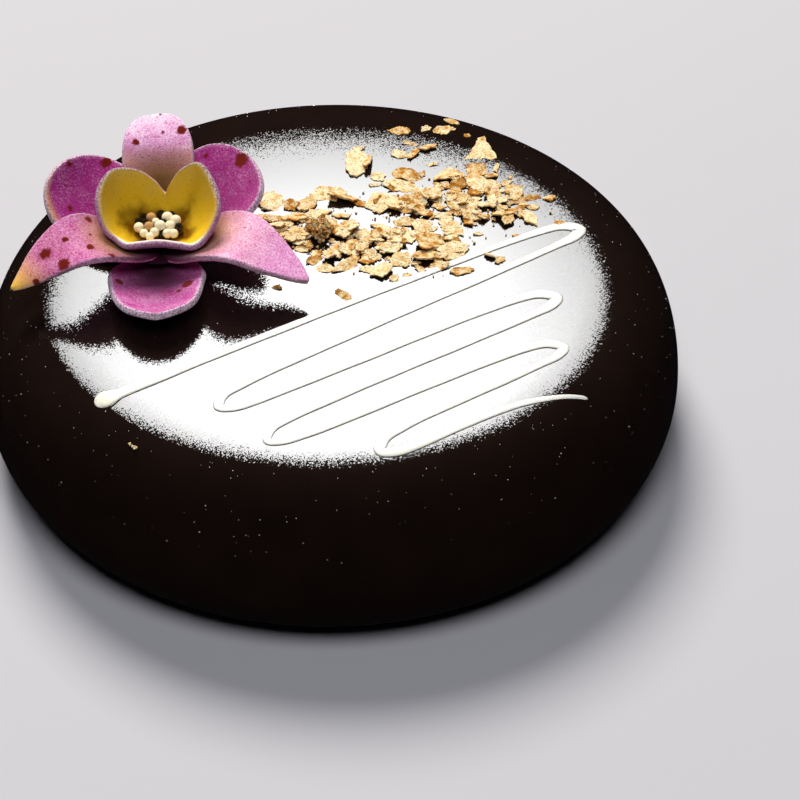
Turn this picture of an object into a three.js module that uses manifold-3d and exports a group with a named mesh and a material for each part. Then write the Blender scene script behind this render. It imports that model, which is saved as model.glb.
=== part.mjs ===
// Round ice cream cake under a dark mirror glaze, with a sugar-paste flower, wafer flakes
// and a zigzag of white drizzle on its top. Millimetres, +Z up, origin at the middle of the underside.

import * as THREE from 'three';
import { mergeVertices } from 'three/addons/utils/BufferGeometryUtils.js';
import Module from 'manifold-3d';

const wasm = await Module();
wasm.setup();

// Cake: flat top and underside, sides round from one to the other
const CAKE_RADIUS = 100;
const CAKE_HEIGHT = 52;
const CAKE_FLAT_RADIUS = 82;
const CAKE_WIDEST_LEVEL = 20;
const CAKE_SIDES = 80;
const CAKE_ARC_STEPS = 6;

// Drizzle: one bead that runs to and fro across the top, round hairpin turns
const DRIZZLE_START = [-60, -52.5];
const DRIZZLE_TURNS = [[71.5, 20.5], [-29, -57.5], [63.5, -11], [-15.5, -71.5], [64.5, -33], [14.5, -75.5]];
const DRIZZLE_TAIL = [[46, -59.7], [54, -55.9], [62, -53.5], [70.5, -51.7]];
const DRIZZLE_BEARING = 31;
const DRIZZLE_NOSE = 10;
const DRIZZLE_ENTRY_OFFSET = 5;
const DRIZZLE_EXIT_OFFSET = 3;
const DRIZZLE_HALF_WIDTH = 1.35;
const DRIZZLE_BLOB_RADIUS = 2.7;
const DRIZZLE_BLOB_HEIGHT = 1.8;
const DRIZZLE_NECK_HALF_WIDTH = 1.9;
const DRIZZLE_NECK_LENGTH = 30;
const DRIZZLE_TAIL_LENGTH = 24;
const DRIZZLE_TAIL_SHARE = 0.45;
const DRIZZLE_RISE = 0.85;
const DRIZZLE_SINK = 0.6;
const DRIZZLE_SECTION_STEPS = 4;
const DRIZZLE_SECTIONS_PER_SPAN = 2;
const DRIZZLE_OVERLAP = 0.2;
const HAIRPIN_ANGLES = [0, 45, 90, 135, 180];

// Wafer flakes: patches of [middle x, middle y], [half-length, half-width], bearing, number, pile
const FLAKE_SEED = 11;
const FLAKE_PATCHES = [
  { at: [-8, 25], size: [11, 9], bearing: 60, count: 14, pile: 2.0 },
  { at: [3, 17], size: [15, 9], bearing: -20, count: 22, pile: 2.6 },
  { at: [22, 8], size: [18, 8], bearing: -5, count: 22, pile: 2.4 },
  { at: [21, 38], size: [15, 8], bearing: 10, count: 13, pile: 1.6 },
  { at: [43, 37], size: [17, 11], bearing: -35, count: 25, pile: 2.6 },
  { at: [27, 62], size: [24, 10], bearing: 15, count: 9, pile: 0 },
  { at: [51, 18], size: [18, 9], bearing: 20, count: 5, pile: 0 },
];
const FLAKE_HALF_LENGTH = [5.6, 2.2];
const FLAKE_SLENDERNESS = [0.5, 0.85];
const FLAKE_THICKNESS = 1.2;
const FLAKE_CURL = 0.18;
const FLAKE_CORNERS = [4, 6];
const FLAKE_UNEVENNESS = [0.72, 1];
const FLAKE_CORNER_SCATTER = 0.6;
const FLAKE_TILT = 24;
const FLAKE_SINK = 0.5;

// Flower: two three-lobed sheets, one over the other, a three-lobed cup and a heap of sugar pearls
const FLOWER_AT = [-48.5, 6];
const SHEET_THICKNESS = 2;
const HUB_RADIUS = 3;
const PETAL_LEVEL = 3.6;
const SEPAL_LEVEL = 7.2;
const LOBE_ROWS = 10;
const LOBE_COLUMNS = 6;
const LOBE_TIP_CROWDING = 1.6;
const SPINE_STEPS = 200;
const FOOT_RADIUS = [5, 9];
const SEPAL_DISC_RADIUS = 7.6;
const SEPAL_DISC_STRETCH = 1.2;
const SEPAL_DISC_SHIFT = -2;
const SEPAL_BOSS_RADIUS = 4.5;
const PLUG_SIDES = 20;
const GAP = 0.3;

// Each lobe: bearing and rise of its spine, cupping and roll of its cross-section, all in degrees
// at even steps from the hub to the tip; then its size and the form of its outline
const PETALS = [
  { bearing: [131, 149], rise: [-4, 6, 28, 61], cupping: [17, 32, 0], roll: [0, -23, -20],
    length: 40.1, width: 28.7, base: 0.45, widest: 0.54, roundness: 2.2 },
  { bearing: [51, 31], rise: [3, 22, 35, 44], cupping: [14, 38, 14], roll: [3, 5],
    length: 36.4, width: 32.4, base: 0.46, widest: 0.62, roundness: 2.3 },
  { bearing: [-90, -86], rise: [-8, 4, 9, 31], cupping: [16, 32, 14], roll: [1, -1],
    length: 32.3, width: 28, base: 0.5, widest: 0.35, roundness: 1.9 },
];
const SEPALS = [
  { bearing: [90, 98], rise: [2, 18, 48, 55, 30, 16], cupping: [14, 19, 10], roll: [0, -3],
    length: 38.3, width: 20.7, base: 0.6, widest: 0.59, roundness: 2.6 },
  { bearing: [208, 210], rise: [7, 35, 24, -14, -32, -30], cupping: [14, 16, -37], roll: [3, -14, -19],
    length: 46.3, width: 19, base: 0.74, widest: 0.42, roundness: 1.3 },
  { bearing: [-17, -28], rise: [1, 31, 20, -21, -24, -24], cupping: [21, -6], roll: [7, 3],
    length: 46.2, width: 20.5, base: 0.7, widest: 0.48, roundness: 1.3 },
];

// Cup: its rim as [bearing, radius, height over the cake], two high lobes behind and a low lip in front
const CUP_RIM = [
  [80, 11, 17], [95, 12, 20.8], [116, 13.3, 25.2], [147, 15.5, 28.2], [183, 16.4, 25.7],
  [208, 16.2, 18.6], [221, 14.5, 15.8], [232, 13.6, 14.8], [246, 11.5, 15], [275, 10.1, 15.3],
  [302, 12.6, 14.9], [314, 15.7, 14.8], [324, 17.7, 17.2], [345, 18.5, 23.7], [14, 16.2, 28.2],
  [41, 15.4, 29.7], [60, 12.8, 25.9], [71, 11.4, 21.4],
];
const CUP_THICKNESS = 1.5;
const CUP_FLOOR_LEVEL = 11.4;
const CUP_FLOOR_RADIUS = 5.5;
const CUP_FLOOR_SHARE = 0.25;
const CUP_BULGE = 0.8;
const CUP_SIDES = 42;
const CUP_RINGS = 6;

// Pearls: rings of beads over a low core on the cup's floor
const PEARL_SEED = 5;
const PEARL_RADIUS = [1.4, 1.7];
const PEARL_RINGS = [[0, 1], [2.8, 5], [4.6, 9]];
const PEARL_JITTER = 0.35;
const PEARL_CORE_RADIUS = 4;
const PEARL_CORE_HEIGHT = 1.4;

// Distance at which points count as one, and the cupping of a level cross-section in radians
const WELD = 1e-4;
const LEAST_CUPPING = 1e-3;

const rad = THREE.MathUtils.degToRad;
const lerp = THREE.MathUtils.lerp;

// Repeatable random numbers from 0 to 1
function makeRandom(seed) {
  let state = seed >>> 0;
  return () => {
    state = (state + 0x6d2b79f5) >>> 0;
    let mixed = Math.imul(state ^ (state >>> 15), state | 1);
    mixed ^= mixed + Math.imul(mixed ^ (mixed >>> 7), mixed | 61);
    return ((mixed ^ (mixed >>> 14)) >>> 0) / 4294967296;
  };
}

// Value at share s of the way along keys that stand at even steps
function along(keys, s) {
  const place = s * (keys.length - 1);
  const k = Math.min(Math.floor(place), keys.length - 2);
  return lerp(keys[k], keys[k + 1], place - k);
}

// Geometry of numbered points and triangles
function meshGeometry(points, triangles) {
  const geometry = new THREE.BufferGeometry();
  geometry.setAttribute('position', new THREE.Float32BufferAttribute(points.flatMap((p) => p.toArray()), 3));
  geometry.setIndex(triangles.flat());
  return geometry;
}

// Solid bounded by a closed geometry
function toSolid(geometry) {
  const bare = geometry.clone();
  bare.deleteAttribute('normal');
  bare.deleteAttribute('uv');
  const merged = mergeVertices(bare, WELD);
  const index = merged.index.array;
  const triVerts = [];
  for (let i = 0; i < index.length; i += 3) {
    const [a, b, c] = index.slice(i, i + 3);
    if (a !== b && b !== c && c !== a) triVerts.push(a, b, c);
  }
  const mesh = new wasm.Mesh({
    numProp: 3,
    vertProperties: new Float32Array(merged.attributes.position.array),
    triVerts: new Uint32Array(triVerts),
  });
  return new wasm.Manifold(mesh);
}

// One solid out of several that touch
function join(solids) {
  return solids.reduce((whole, piece) => whole.add(piece));
}

// Largest body of a solid, without scraps that touch nothing
function mainBody(solid) {
  return solid.decompose().reduce((best, piece) => (piece.volume() > best.volume() ? piece : best));
}

// Geometry of a solid's surface
function toGeometry(solid) {
  const mesh = solid.getMesh();
  const geometry = new THREE.BufferGeometry();
  geometry.setAttribute('position', new THREE.Float32BufferAttribute(mesh.vertProperties, 3));
  geometry.setIndex([...mesh.triVerts]);
  geometry.computeVertexNormals();
  return geometry;
}

// Triangles of a grid of rows and columns of points, numbered from first, wound one way or the other
function gridTriangles(rows, columns, first, flipped) {
  const triangles = [];
  for (let i = 0; i + 1 < rows; i += 1) {
    for (let j = 0; j + 1 < columns; j += 1) {
      const a = first + i * columns + j;
      const quad = [[a, a + columns, a + columns + 1], [a, a + columns + 1, a + 1]];
      for (const [p, q, r] of quad) triangles.push(flipped ? [p, r, q] : [p, q, r]);
    }
  }
  return triangles;
}

// Wall between matching border points of two grids, the second numbered shift after the first
function wallTriangles(border, shift) {
  const triangles = [];
  for (let k = 0; k + 1 < border.length; k += 1) {
    const [a, b] = [border[k], border[k + 1]];
    triangles.push([a, a + shift, b + shift], [a, b + shift, b]);
  }
  return triangles;
}

// Level of the cake's upper surface at a distance from its axis
function cakeTop(radius) {
  const out = Math.max(radius - CAKE_FLAT_RADIUS, 0) / (CAKE_RADIUS - CAKE_FLAT_RADIUS);
  return CAKE_WIDEST_LEVEL + (CAKE_HEIGHT - CAKE_WIDEST_LEVEL) * Math.sqrt(1 - Math.min(out, 1) ** 2);
}

// Cake turned about its axis, both shoulders quarter ellipses
function cakeBody() {
  const shoulder = CAKE_RADIUS - CAKE_FLAT_RADIUS;
  const profile = [new THREE.Vector2(0, 0)];
  for (let k = -CAKE_ARC_STEPS; k <= CAKE_ARC_STEPS; k += 1) {
    const angle = (k / CAKE_ARC_STEPS) * (Math.PI / 2);
    const reach = k < 0 ? CAKE_WIDEST_LEVEL : CAKE_HEIGHT - CAKE_WIDEST_LEVEL;
    const radius = CAKE_FLAT_RADIUS + shoulder * Math.cos(angle);
    profile.push(new THREE.Vector2(radius, CAKE_WIDEST_LEVEL + reach * Math.sin(angle)));
  }
  profile.push(new THREE.Vector2(0, CAKE_HEIGHT));
  return toSolid(new THREE.LatheGeometry(profile, CAKE_SIDES).rotateX(Math.PI / 2));
}

// Points of one hairpin: in along one side of the nose, round the tip and out along the other
function hairpin(tip, outward) {
  const run = new THREE.Vector2(Math.cos(rad(DRIZZLE_BEARING)), Math.sin(rad(DRIZZLE_BEARING)));
  const side = new THREE.Vector2(-run.y, run.x);
  return HAIRPIN_ANGLES.map((angle) => {
    const back = DRIZZLE_NOSE * (1 - Math.sin(rad(angle)));
    const offset = (angle < 90 ? DRIZZLE_ENTRY_OFFSET : DRIZZLE_EXIT_OFFSET) * Math.cos(rad(angle));
    return new THREE.Vector2(...tip).addScaledVector(run, -outward * back).addScaledVector(side, offset);
  });
}

// Route of the drizzle over the cake, seen from above
function drizzleRoute() {
  const turns = DRIZZLE_TURNS.flatMap((tip, k) => hairpin(tip, k % 2 === 0 ? 1 : -1));
  const ends = [DRIZZLE_START, ...DRIZZLE_TAIL].map((p) => new THREE.Vector2(...p));
  const flat = [ends[0], ...turns, ...ends.slice(1)];
  const route = flat.map((p) => new THREE.Vector3(p.x, p.y, 0));
  return new THREE.CatmullRomCurve3(route, false, 'centripetal');
}

// Half-width of the bead at a point of its route: a thick neck by the start, a thin tail at the end
function drizzleHalfWidth(point, route) {
  const [start, end] = [route.points[0], route.points.at(-1)];
  const fromStart = point.distanceTo(start) / DRIZZLE_NECK_LENGTH;
  const toEnd = Math.min(point.distanceTo(end) / DRIZZLE_TAIL_LENGTH, 1);
  const body = DRIZZLE_HALF_WIDTH * lerp(DRIZZLE_TAIL_SHARE, 1, toEnd);
  return lerp(body, DRIZZLE_NECK_HALF_WIDTH, Math.exp(-fromStart * fromStart));
}

// Low dome where the bead starts
function drizzleBlob() {
  const dome = new THREE.SphereGeometry(DRIZZLE_BLOB_RADIUS, 14, 8).rotateX(Math.PI / 2);
  dome.scale(1, 1, DRIZZLE_BLOB_HEIGHT / DRIZZLE_BLOB_RADIUS);
  return toSolid(dome.translate(...DRIZZLE_START, cakeTop(Math.hypot(...DRIZZLE_START))));
}

// Cross-section of the bead at a share of the route: half round, its two lower corners in the glaze
function drizzleSection(route, share) {
  const middle = route.getPoint(share);
  const ahead = route.getTangent(share);
  const half = drizzleHalfWidth(middle, route);
  return Array.from({ length: DRIZZLE_SECTION_STEPS + 1 }, (_, j) => {
    const angle = (Math.PI * j) / DRIZZLE_SECTION_STEPS;
    const x = middle.x - ahead.y * half * Math.cos(angle);
    const y = middle.y + ahead.x * half * Math.cos(angle);
    const corner = j === 0 || j === DRIZZLE_SECTION_STEPS;
    const rise = corner ? -DRIZZLE_SINK : DRIZZLE_RISE * half * Math.sin(angle);
    return new THREE.Vector3(x, y, cakeTop(Math.hypot(x, y)) + rise);
  });
}

// Stretch of the bead from one span of the route to another
function drizzleStretch(route, from, to) {
  const spans = route.points.length - 1;
  const count = Math.round((to - from) * DRIZZLE_SECTIONS_PER_SPAN);
  const sections = Array.from({ length: count + 1 }, (_, i) => (
    drizzleSection(route, lerp(from, to, i / count) / spans)));
  const columns = DRIZZLE_SECTION_STEPS + 1;
  const triangles = gridTriangles(sections.length, columns, 0, true);
  for (let i = 0; i < count; i += 1) {
    const a = i * columns;
    const b = a + columns - 1;
    triangles.push([a, b + columns, b], [a, a + columns, b + columns]);
  }
  const last = count * columns;
  for (let j = 1; j + 1 < columns; j += 1) triangles.push([0, j + 1, j], [last, last + j, last + j + 1]);
  return toSolid(meshGeometry(sections.flat(), triangles));
}

// Whole drizzle, run by run, each run reaching a little past the tips of the turns at its ends
function drizzle() {
  const route = drizzleRoute();
  const spans = route.points.length - 1;
  const tips = DRIZZLE_TURNS.map((_, k) => k * HAIRPIN_ANGLES.length + 1 + HAIRPIN_ANGLES.indexOf(90));
  const marks = [0, ...tips, spans];
  const stretches = marks.slice(1).map((mark, k) => {
    const from = Math.max(marks[k] - DRIZZLE_OVERLAP, 0);
    return drizzleStretch(route, from, Math.min(mark + DRIZZLE_OVERLAP, spans));
  });
  return join([drizzleBlob(), ...stretches]);
}

// One wafer flake: a thin, slightly curled shard with straight edges, lying flat about the origin
function flakeGeometry(random, halfLength) {
  const corners = FLAKE_CORNERS[0] + Math.floor(random() * (FLAKE_CORNERS[1] - FLAKE_CORNERS[0] + 1));
  const slender = lerp(...FLAKE_SLENDERNESS, random());
  const curl = FLAKE_CURL * lerp(-1, 1, random());
  const turn = random() * Math.PI;
  const rim = Array.from({ length: corners }, (_, k) => {
    const angle = turn + ((k + FLAKE_CORNER_SCATTER * (random() - 0.5)) / corners) * 2 * Math.PI;
    const reach = halfLength * lerp(...FLAKE_UNEVENNESS, random());
    const x = reach * Math.cos(angle);
    return new THREE.Vector3(x, slender * reach * Math.sin(angle), (curl * x * x) / halfLength);
  });
  const points = [FLAKE_THICKNESS / 2, -FLAKE_THICKNESS / 2].flatMap((lift) => (
    rim.map((p) => new THREE.Vector3(p.x, p.y, p.z + lift))));
  const triangles = [];
  for (let k = 0; k < corners; k += 1) {
    const next = (k + 1) % corners;
    if (k > 0 && next > 0) triangles.push([0, k, next], [corners, corners + next, corners + k]);
    triangles.push([k, corners + k, corners + next], [k, corners + next, next]);
  }
  return meshGeometry(points, triangles);
}

// Flakes of one patch, largest first, the later ones lying on the earlier ones
function flakePatch({ at, size, bearing, count, pile }, random) {
  return Array.from({ length: count }, (_, k) => {
    const share = (k + 0.5) / count;
    const geometry = flakeGeometry(random, lerp(...FLAKE_HALF_LENGTH, share));
    const away = Math.sqrt(random());
    const around = random() * 2 * Math.PI;
    const [u, v] = [size[0] * away * Math.cos(around), size[1] * away * Math.sin(around)];
    const [c, s] = [Math.cos(rad(bearing)), Math.sin(rad(bearing))];
    const [x, y] = [at[0] + u * c - v * s, at[1] + u * s + v * c];
    const tilt = rad(FLAKE_TILT) * lerp(-1, 1, random());
    geometry.rotateX(tilt).rotateY(rad(FLAKE_TILT) * lerp(-1, 1, random())).rotateZ(random() * 2 * Math.PI);
    geometry.computeBoundingBox();
    const support = cakeTop(Math.hypot(x, y)) + (k % 2) * pile * (1 - away * away);
    geometry.translate(x, y, support - FLAKE_SINK - geometry.boundingBox.min.z);
    return toSolid(geometry);
  });
}

// All flakes in one solid
function flakes() {
  const random = makeRandom(FLAKE_SEED);
  return join(FLAKE_PATCHES.flatMap((patch) => flakePatch(patch, random)));
}

// Half-width of a lobe at share s from the hub to the tip
function lobeHalfWidth({ width, base, widest, roundness }, s) {
  const growing = lerp(base, 1, Math.sin((Math.PI / 2) * Math.min(s / widest, 1)));
  const past = Math.min(Math.max((s - widest) / (1 - widest), 0), 1);
  const closing = (1 - past ** roundness) ** (1 / roundness);
  return (width / 2) * (s < widest ? growing : closing);
}

// Direction in which a lobe's spine runs at share s
function spineDirection(lobe, s) {
  const bearing = rad(along(lobe.bearing, s));
  const rise = rad(along(lobe.rise, s));
  const level = new THREE.Vector3(Math.cos(bearing), Math.sin(bearing), 0);
  return level.multiplyScalar(Math.cos(rise)).add(new THREE.Vector3(0, 0, Math.sin(rise)));
}

// Middle of the spine at even steps
function spine(lobe, level) {
  const start = rad(lobe.bearing[0]);
  const points = [new THREE.Vector3(HUB_RADIUS * Math.cos(start), HUB_RADIUS * Math.sin(start), level)];
  for (let k = 0; k < SPINE_STEPS; k += 1) {
    const direction = spineDirection(lobe, (k + 0.5) / SPINE_STEPS);
    points.push(points[k].clone().addScaledVector(direction, lobe.length / SPINE_STEPS));
  }
  return points;
}

// One lobe as a thin curved sheet with square edges, both faces split alike
function lobeSolid(lobe, level) {
  const middle = spine(lobe, level);
  const faces = [[], []];
  for (let i = 0; i <= LOBE_ROWS; i += 1) {
    const step = Math.round(SPINE_STEPS * (1 - (1 - i / LOBE_ROWS) ** LOBE_TIP_CROWDING));
    const s = step / SPINE_STEPS;
    const ahead = spineDirection(lobe, s);
    const bearing = rad(along(lobe.bearing, s));
    const roll = rad(along(lobe.roll, s));
    const side = new THREE.Vector3(-Math.sin(bearing), Math.cos(bearing), 0).applyAxisAngle(ahead, roll);
    const up = ahead.clone().cross(side);
    const half = lobeHalfWidth(lobe, s);
    const cupping = rad(along(lobe.cupping, s)) || LEAST_CUPPING;
    for (let j = 0; j <= LOBE_COLUMNS; j += 1) {
      const angle = cupping * ((2 * j) / LOBE_COLUMNS - 1);
      const point = middle[step].clone()
        .addScaledVector(side, (half * Math.sin(angle)) / cupping)
        .addScaledVector(up, (half * (1 - Math.cos(angle))) / cupping);
      const lean = half > 0 ? angle : 0;
      const normal = up.clone().multiplyScalar(Math.cos(lean)).addScaledVector(side, -Math.sin(lean));
      faces[0].push(point.clone().addScaledVector(normal, SHEET_THICKNESS / 2));
      faces[1].push(point.clone().addScaledVector(normal, -SHEET_THICKNESS / 2));
    }
  }
  const [rows, columns] = [LOBE_ROWS + 1, LOBE_COLUMNS + 1];
  const shift = rows * columns;
  const right = Array.from({ length: rows }, (_, i) => i * columns);
  const left = Array.from({ length: rows }, (_, i) => i * columns + columns - 1);
  const base = Array.from({ length: columns }, (_, j) => j);
  const triangles = [
    ...gridTriangles(rows, columns, 0, false),
    ...gridTriangles(rows, columns, shift, true),
    ...wallTriangles(right, shift),
    ...wallTriangles(left.reverse(), shift),
    ...wallTriangles(base.reverse(), shift),
  ];
  return toSolid(meshGeometry([...faces[0], ...faces[1]], triangles));
}

// Upright round plug between two levels
function plug(topRadius, bottomRadius, bottom, top) {
  const geometry = new THREE.CylinderGeometry(topRadius, bottomRadius, top - bottom, PLUG_SIDES);
  return toSolid(geometry.rotateX(Math.PI / 2).translate(0, 0, (top + bottom) / 2));
}

// Lower sheet: three round petals on the foot that the flower stands on
function petals() {
  const top = SEPAL_LEVEL - SHEET_THICKNESS / 2 - 2 * GAP;
  return join([...PETALS.map((lobe) => lobeSolid(lobe, PETAL_LEVEL)), plug(...FOOT_RADIUS, GAP, top)]);
}

// Upper sheet: an upright lobe and two long drooping ones round an oval disc that reaches further to
// the front, with a boss that carries the cup
function sepals() {
  const half = SHEET_THICKNESS / 2;
  const top = CUP_FLOOR_LEVEL - CUP_THICKNESS / 2 - GAP;
  const disc = plug(SEPAL_DISC_RADIUS, SEPAL_DISC_RADIUS, SEPAL_LEVEL - half, SEPAL_LEVEL + half);
  return join([
    ...SEPALS.map((lobe) => lobeSolid(lobe, SEPAL_LEVEL)),
    disc.scale([SEPAL_DISC_STRETCH, 1, 1]).translate([0, SEPAL_DISC_SHIFT, 0]),
    plug(SEPAL_BOSS_RADIUS, SEPAL_BOSS_RADIUS, SEPAL_LEVEL, top),
  ]);
}

// Point of the cup's middle surface: share v from the middle of its floor to a point of its rim
function cupPoint(rim, v) {
  const reach = Math.hypot(rim.x, rim.y);
  const w = Math.max((v - CUP_FLOOR_SHARE) / (1 - CUP_FLOOR_SHARE), 0);
  const wall = (1 - w) ** 2 * CUP_FLOOR_RADIUS + 2 * w * (1 - w) * CUP_BULGE * reach + w * w * reach;
  const radius = v < CUP_FLOOR_SHARE ? (CUP_FLOOR_RADIUS * v) / CUP_FLOOR_SHARE : wall;
  const height = lerp(CUP_FLOOR_LEVEL, rim.z, w * w);
  return new THREE.Vector3((rim.x / reach) * radius, (rim.y / reach) * radius, height);
}

// Direction from the cup's wall to its inside at share v below point k of its rim
function cupNormal(rimPoint, k, v) {
  if (v < CUP_FLOOR_SHARE / 2) return new THREE.Vector3(0, 0, 1);
  const step = 0.05;
  const outward = cupPoint(rimPoint(k), Math.min(v + step, 1)).sub(cupPoint(rimPoint(k), v - step));
  const onward = cupPoint(rimPoint(k + 0.5), v).sub(cupPoint(rimPoint(k - 0.5), v));
  return outward.cross(onward).normalize();
}

// Three-lobed cup of even thickness
function cup() {
  const corners = CUP_RIM.map(([bearing, radius, height]) => (
    new THREE.Vector3(radius * Math.cos(rad(bearing)), radius * Math.sin(rad(bearing)), height)));
  const rimCurve = new THREE.CatmullRomCurve3(corners, true, 'centripetal');
  const rimPoint = (k) => rimCurve.getPoint(((k + CUP_SIDES) % CUP_SIDES) / CUP_SIDES);
  const faces = [[], []];
  for (let i = 0; i <= CUP_RINGS; i += 1) {
    const v = i / CUP_RINGS;
    for (let k = 0; k <= CUP_SIDES; k += 1) {
      const point = cupPoint(rimPoint(k), v);
      const normal = cupNormal(rimPoint, k, v);
      faces[0].push(point.clone().addScaledVector(normal, CUP_THICKNESS / 2));
      faces[1].push(point.clone().addScaledVector(normal, -CUP_THICKNESS / 2));
    }
  }
  const [rows, columns] = [CUP_RINGS + 1, CUP_SIDES + 1];
  const shift = rows * columns;
  const edge = Array.from({ length: columns }, (_, k) => (rows - 1) * columns + k);
  return toSolid(meshGeometry([...faces[0], ...faces[1]], [
    ...gridTriangles(rows, columns, 0, false),
    ...gridTriangles(rows, columns, shift, true),
    ...wallTriangles(edge, shift),
  ]));
}

// Heap of sugar pearls: rings of beads fused to a low core
function pearls() {
  const random = makeRandom(PEARL_SEED);
  const floor = CUP_FLOOR_LEVEL + CUP_THICKNESS / 2 + GAP;
  const beads = PEARL_RINGS.flatMap(([ringRadius, count]) => Array.from({ length: count }, (_, k) => {
    const radius = lerp(...PEARL_RADIUS, random());
    const angle = ((k + PEARL_JITTER * (random() - 0.5)) / count) * 2 * Math.PI + ringRadius;
    const reach = ringRadius + PEARL_JITTER * (random() - 0.5);
    const level = floor + radius + (ringRadius === 0 ? PEARL_CORE_HEIGHT / 2 : 0);
    const bead = new THREE.OctahedronGeometry(radius, 1);
    return toSolid(bead.translate(reach * Math.cos(angle), reach * Math.sin(angle), level));
  }));
  return join([plug(PEARL_CORE_RADIUS, PEARL_CORE_RADIUS, floor, floor + PEARL_CORE_HEIGHT), ...beads]);
}

// Named part with its colour and finish
function part(name, solid, color, roughness) {
  const material = new THREE.MeshStandardMaterial({ color, roughness, metalness: 0 });
  const mesh = new THREE.Mesh(toGeometry(mainBody(solid)), material);
  mesh.name = name;
  return mesh;
}

const flower = new THREE.Group();
flower.position.set(...FLOWER_AT, CAKE_HEIGHT);
flower.add(part('petals', petals(), 0xc765b4, 0.75));
flower.add(part('sepals', sepals(), 0xd98fcb, 0.75));
flower.add(part('flower_cup', cup(), 0xd9b53a, 0.7));
flower.add(part('flower_pearls', pearls(), 0xefe3c4, 0.5));

const cake = new THREE.Group();
cake.add(part('glazed_cake', join([cakeBody(), drizzle(), flakes()]), 0x17100d, 0.12));
cake.add(flower);

export default cake;
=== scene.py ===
import math

import bpy
import numpy as np
from mathutils import Matrix, Vector


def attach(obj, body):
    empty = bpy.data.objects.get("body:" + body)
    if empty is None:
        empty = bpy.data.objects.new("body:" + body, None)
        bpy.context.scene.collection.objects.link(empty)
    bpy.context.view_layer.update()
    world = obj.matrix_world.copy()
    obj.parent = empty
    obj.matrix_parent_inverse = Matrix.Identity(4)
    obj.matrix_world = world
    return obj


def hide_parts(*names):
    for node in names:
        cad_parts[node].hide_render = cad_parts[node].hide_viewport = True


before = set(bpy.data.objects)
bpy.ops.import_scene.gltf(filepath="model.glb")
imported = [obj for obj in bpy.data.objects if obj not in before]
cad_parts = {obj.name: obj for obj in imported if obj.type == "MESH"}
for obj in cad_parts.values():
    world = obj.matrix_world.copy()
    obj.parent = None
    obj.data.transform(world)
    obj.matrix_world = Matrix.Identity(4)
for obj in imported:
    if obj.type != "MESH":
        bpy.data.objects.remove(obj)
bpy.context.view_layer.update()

# Round ice cream cake under a dark mirror glaze, dressed piece by piece. Shapes are worked out in
# millimetres in the frame's own axes and turned to metres when each mesh is made.
MM = 0.001
# Least value that is divided by
TINY = 1e-3

# Cake: flat top and underside, both shoulders quarter ellipses; the top eases down to the shoulder
CAKE_RADIUS = 100.0
CAKE_HEIGHT = 52.0
CAKE_FLAT_RADIUS = 82.0
CAKE_SHOULDER = CAKE_RADIUS - CAKE_FLAT_RADIUS
CAKE_WIDEST_LEVEL = 20.0
CAKE_EASING_START = 72.0
CAKE_EASING_RATE = 0.012
CAKE_SIDES = 288
CAKE_ARC_STEPS = 96
CAKE_TOP_RINGS = 60
# Strength of the dimples in the glaze
GLAZE_TILT = 0.13

# Drizzle: one bead to and fro across the top, round hairpin turns
DRIZZLE_START = (-60.0, -53.9)
DRIZZLE_TURNS = [(71.5, 20.5), (-29, -57.5), (63.5, -11), (-15.5, -71.5), (64.5, -33), (14.5, -75.5)]
DRIZZLE_TAIL = [(46, -59.7), (54, -55.9), (62, -53.5), (70.5, -51.7)]
DRIZZLE_BEARING = math.radians(31.0)
DRIZZLE_RUN = np.array([math.cos(DRIZZLE_BEARING), math.sin(DRIZZLE_BEARING)])
DRIZZLE_NOSE = 10.0
DRIZZLE_ENTRY_OFFSET = 5.0
DRIZZLE_EXIT_OFFSET = 3.0
DRIZZLE_HALF_WIDTH = 1.2
DRIZZLE_NECK_HALF_WIDTH = 1.9
DRIZZLE_NECK_LENGTH = 30.0
DRIZZLE_TAIL_LENGTH = 24.0
DRIZZLE_TAIL_SHARE = 0.45
DRIZZLE_TIP_STEPS = 6
DRIZZLE_TIP_SHARE = 0.02
# Uneven width as (share, mm to a radian, phase)
DRIZZLE_WAVES = [(0.05, 7.3, 0.0), (0.04, 3.1, 1.0)]
# Section: an edge that overhangs the glaze by a lip, a low crown over it and a sunk underside
DRIZZLE_LIP = 0.18
DRIZZLE_LIP_SHARE = 0.3
DRIZZLE_UNDERCUT = 1.3
DRIZZLE_RISE = 0.16
DRIZZLE_CROWN_POWER = 0.9
DRIZZLE_FULL_HALF_WIDTHS = (1.5, 3.0)
DRIZZLE_SINK = 0.35
DRIZZLE_BLOB_RADIUS = 3.0
DRIZZLE_BLOB_LENGTH = 3.7
DRIZZLE_BLOB_BLEND = 4
DRIZZLE_LEAST_HALF_WIDTH = 0.02
DRIZZLE_TURN_SWELL = (0.5, 0.0, 0.5, 0.0, 0.5, 0.4)
DRIZZLE_TURN_REACH = 10.0
DRIZZLE_SPAN_STEPS = 40
DRIZZLE_SECTION_STEPS = 16
HAIRPIN_ANGLES = (0, 45, 90, 135, 180)

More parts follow.
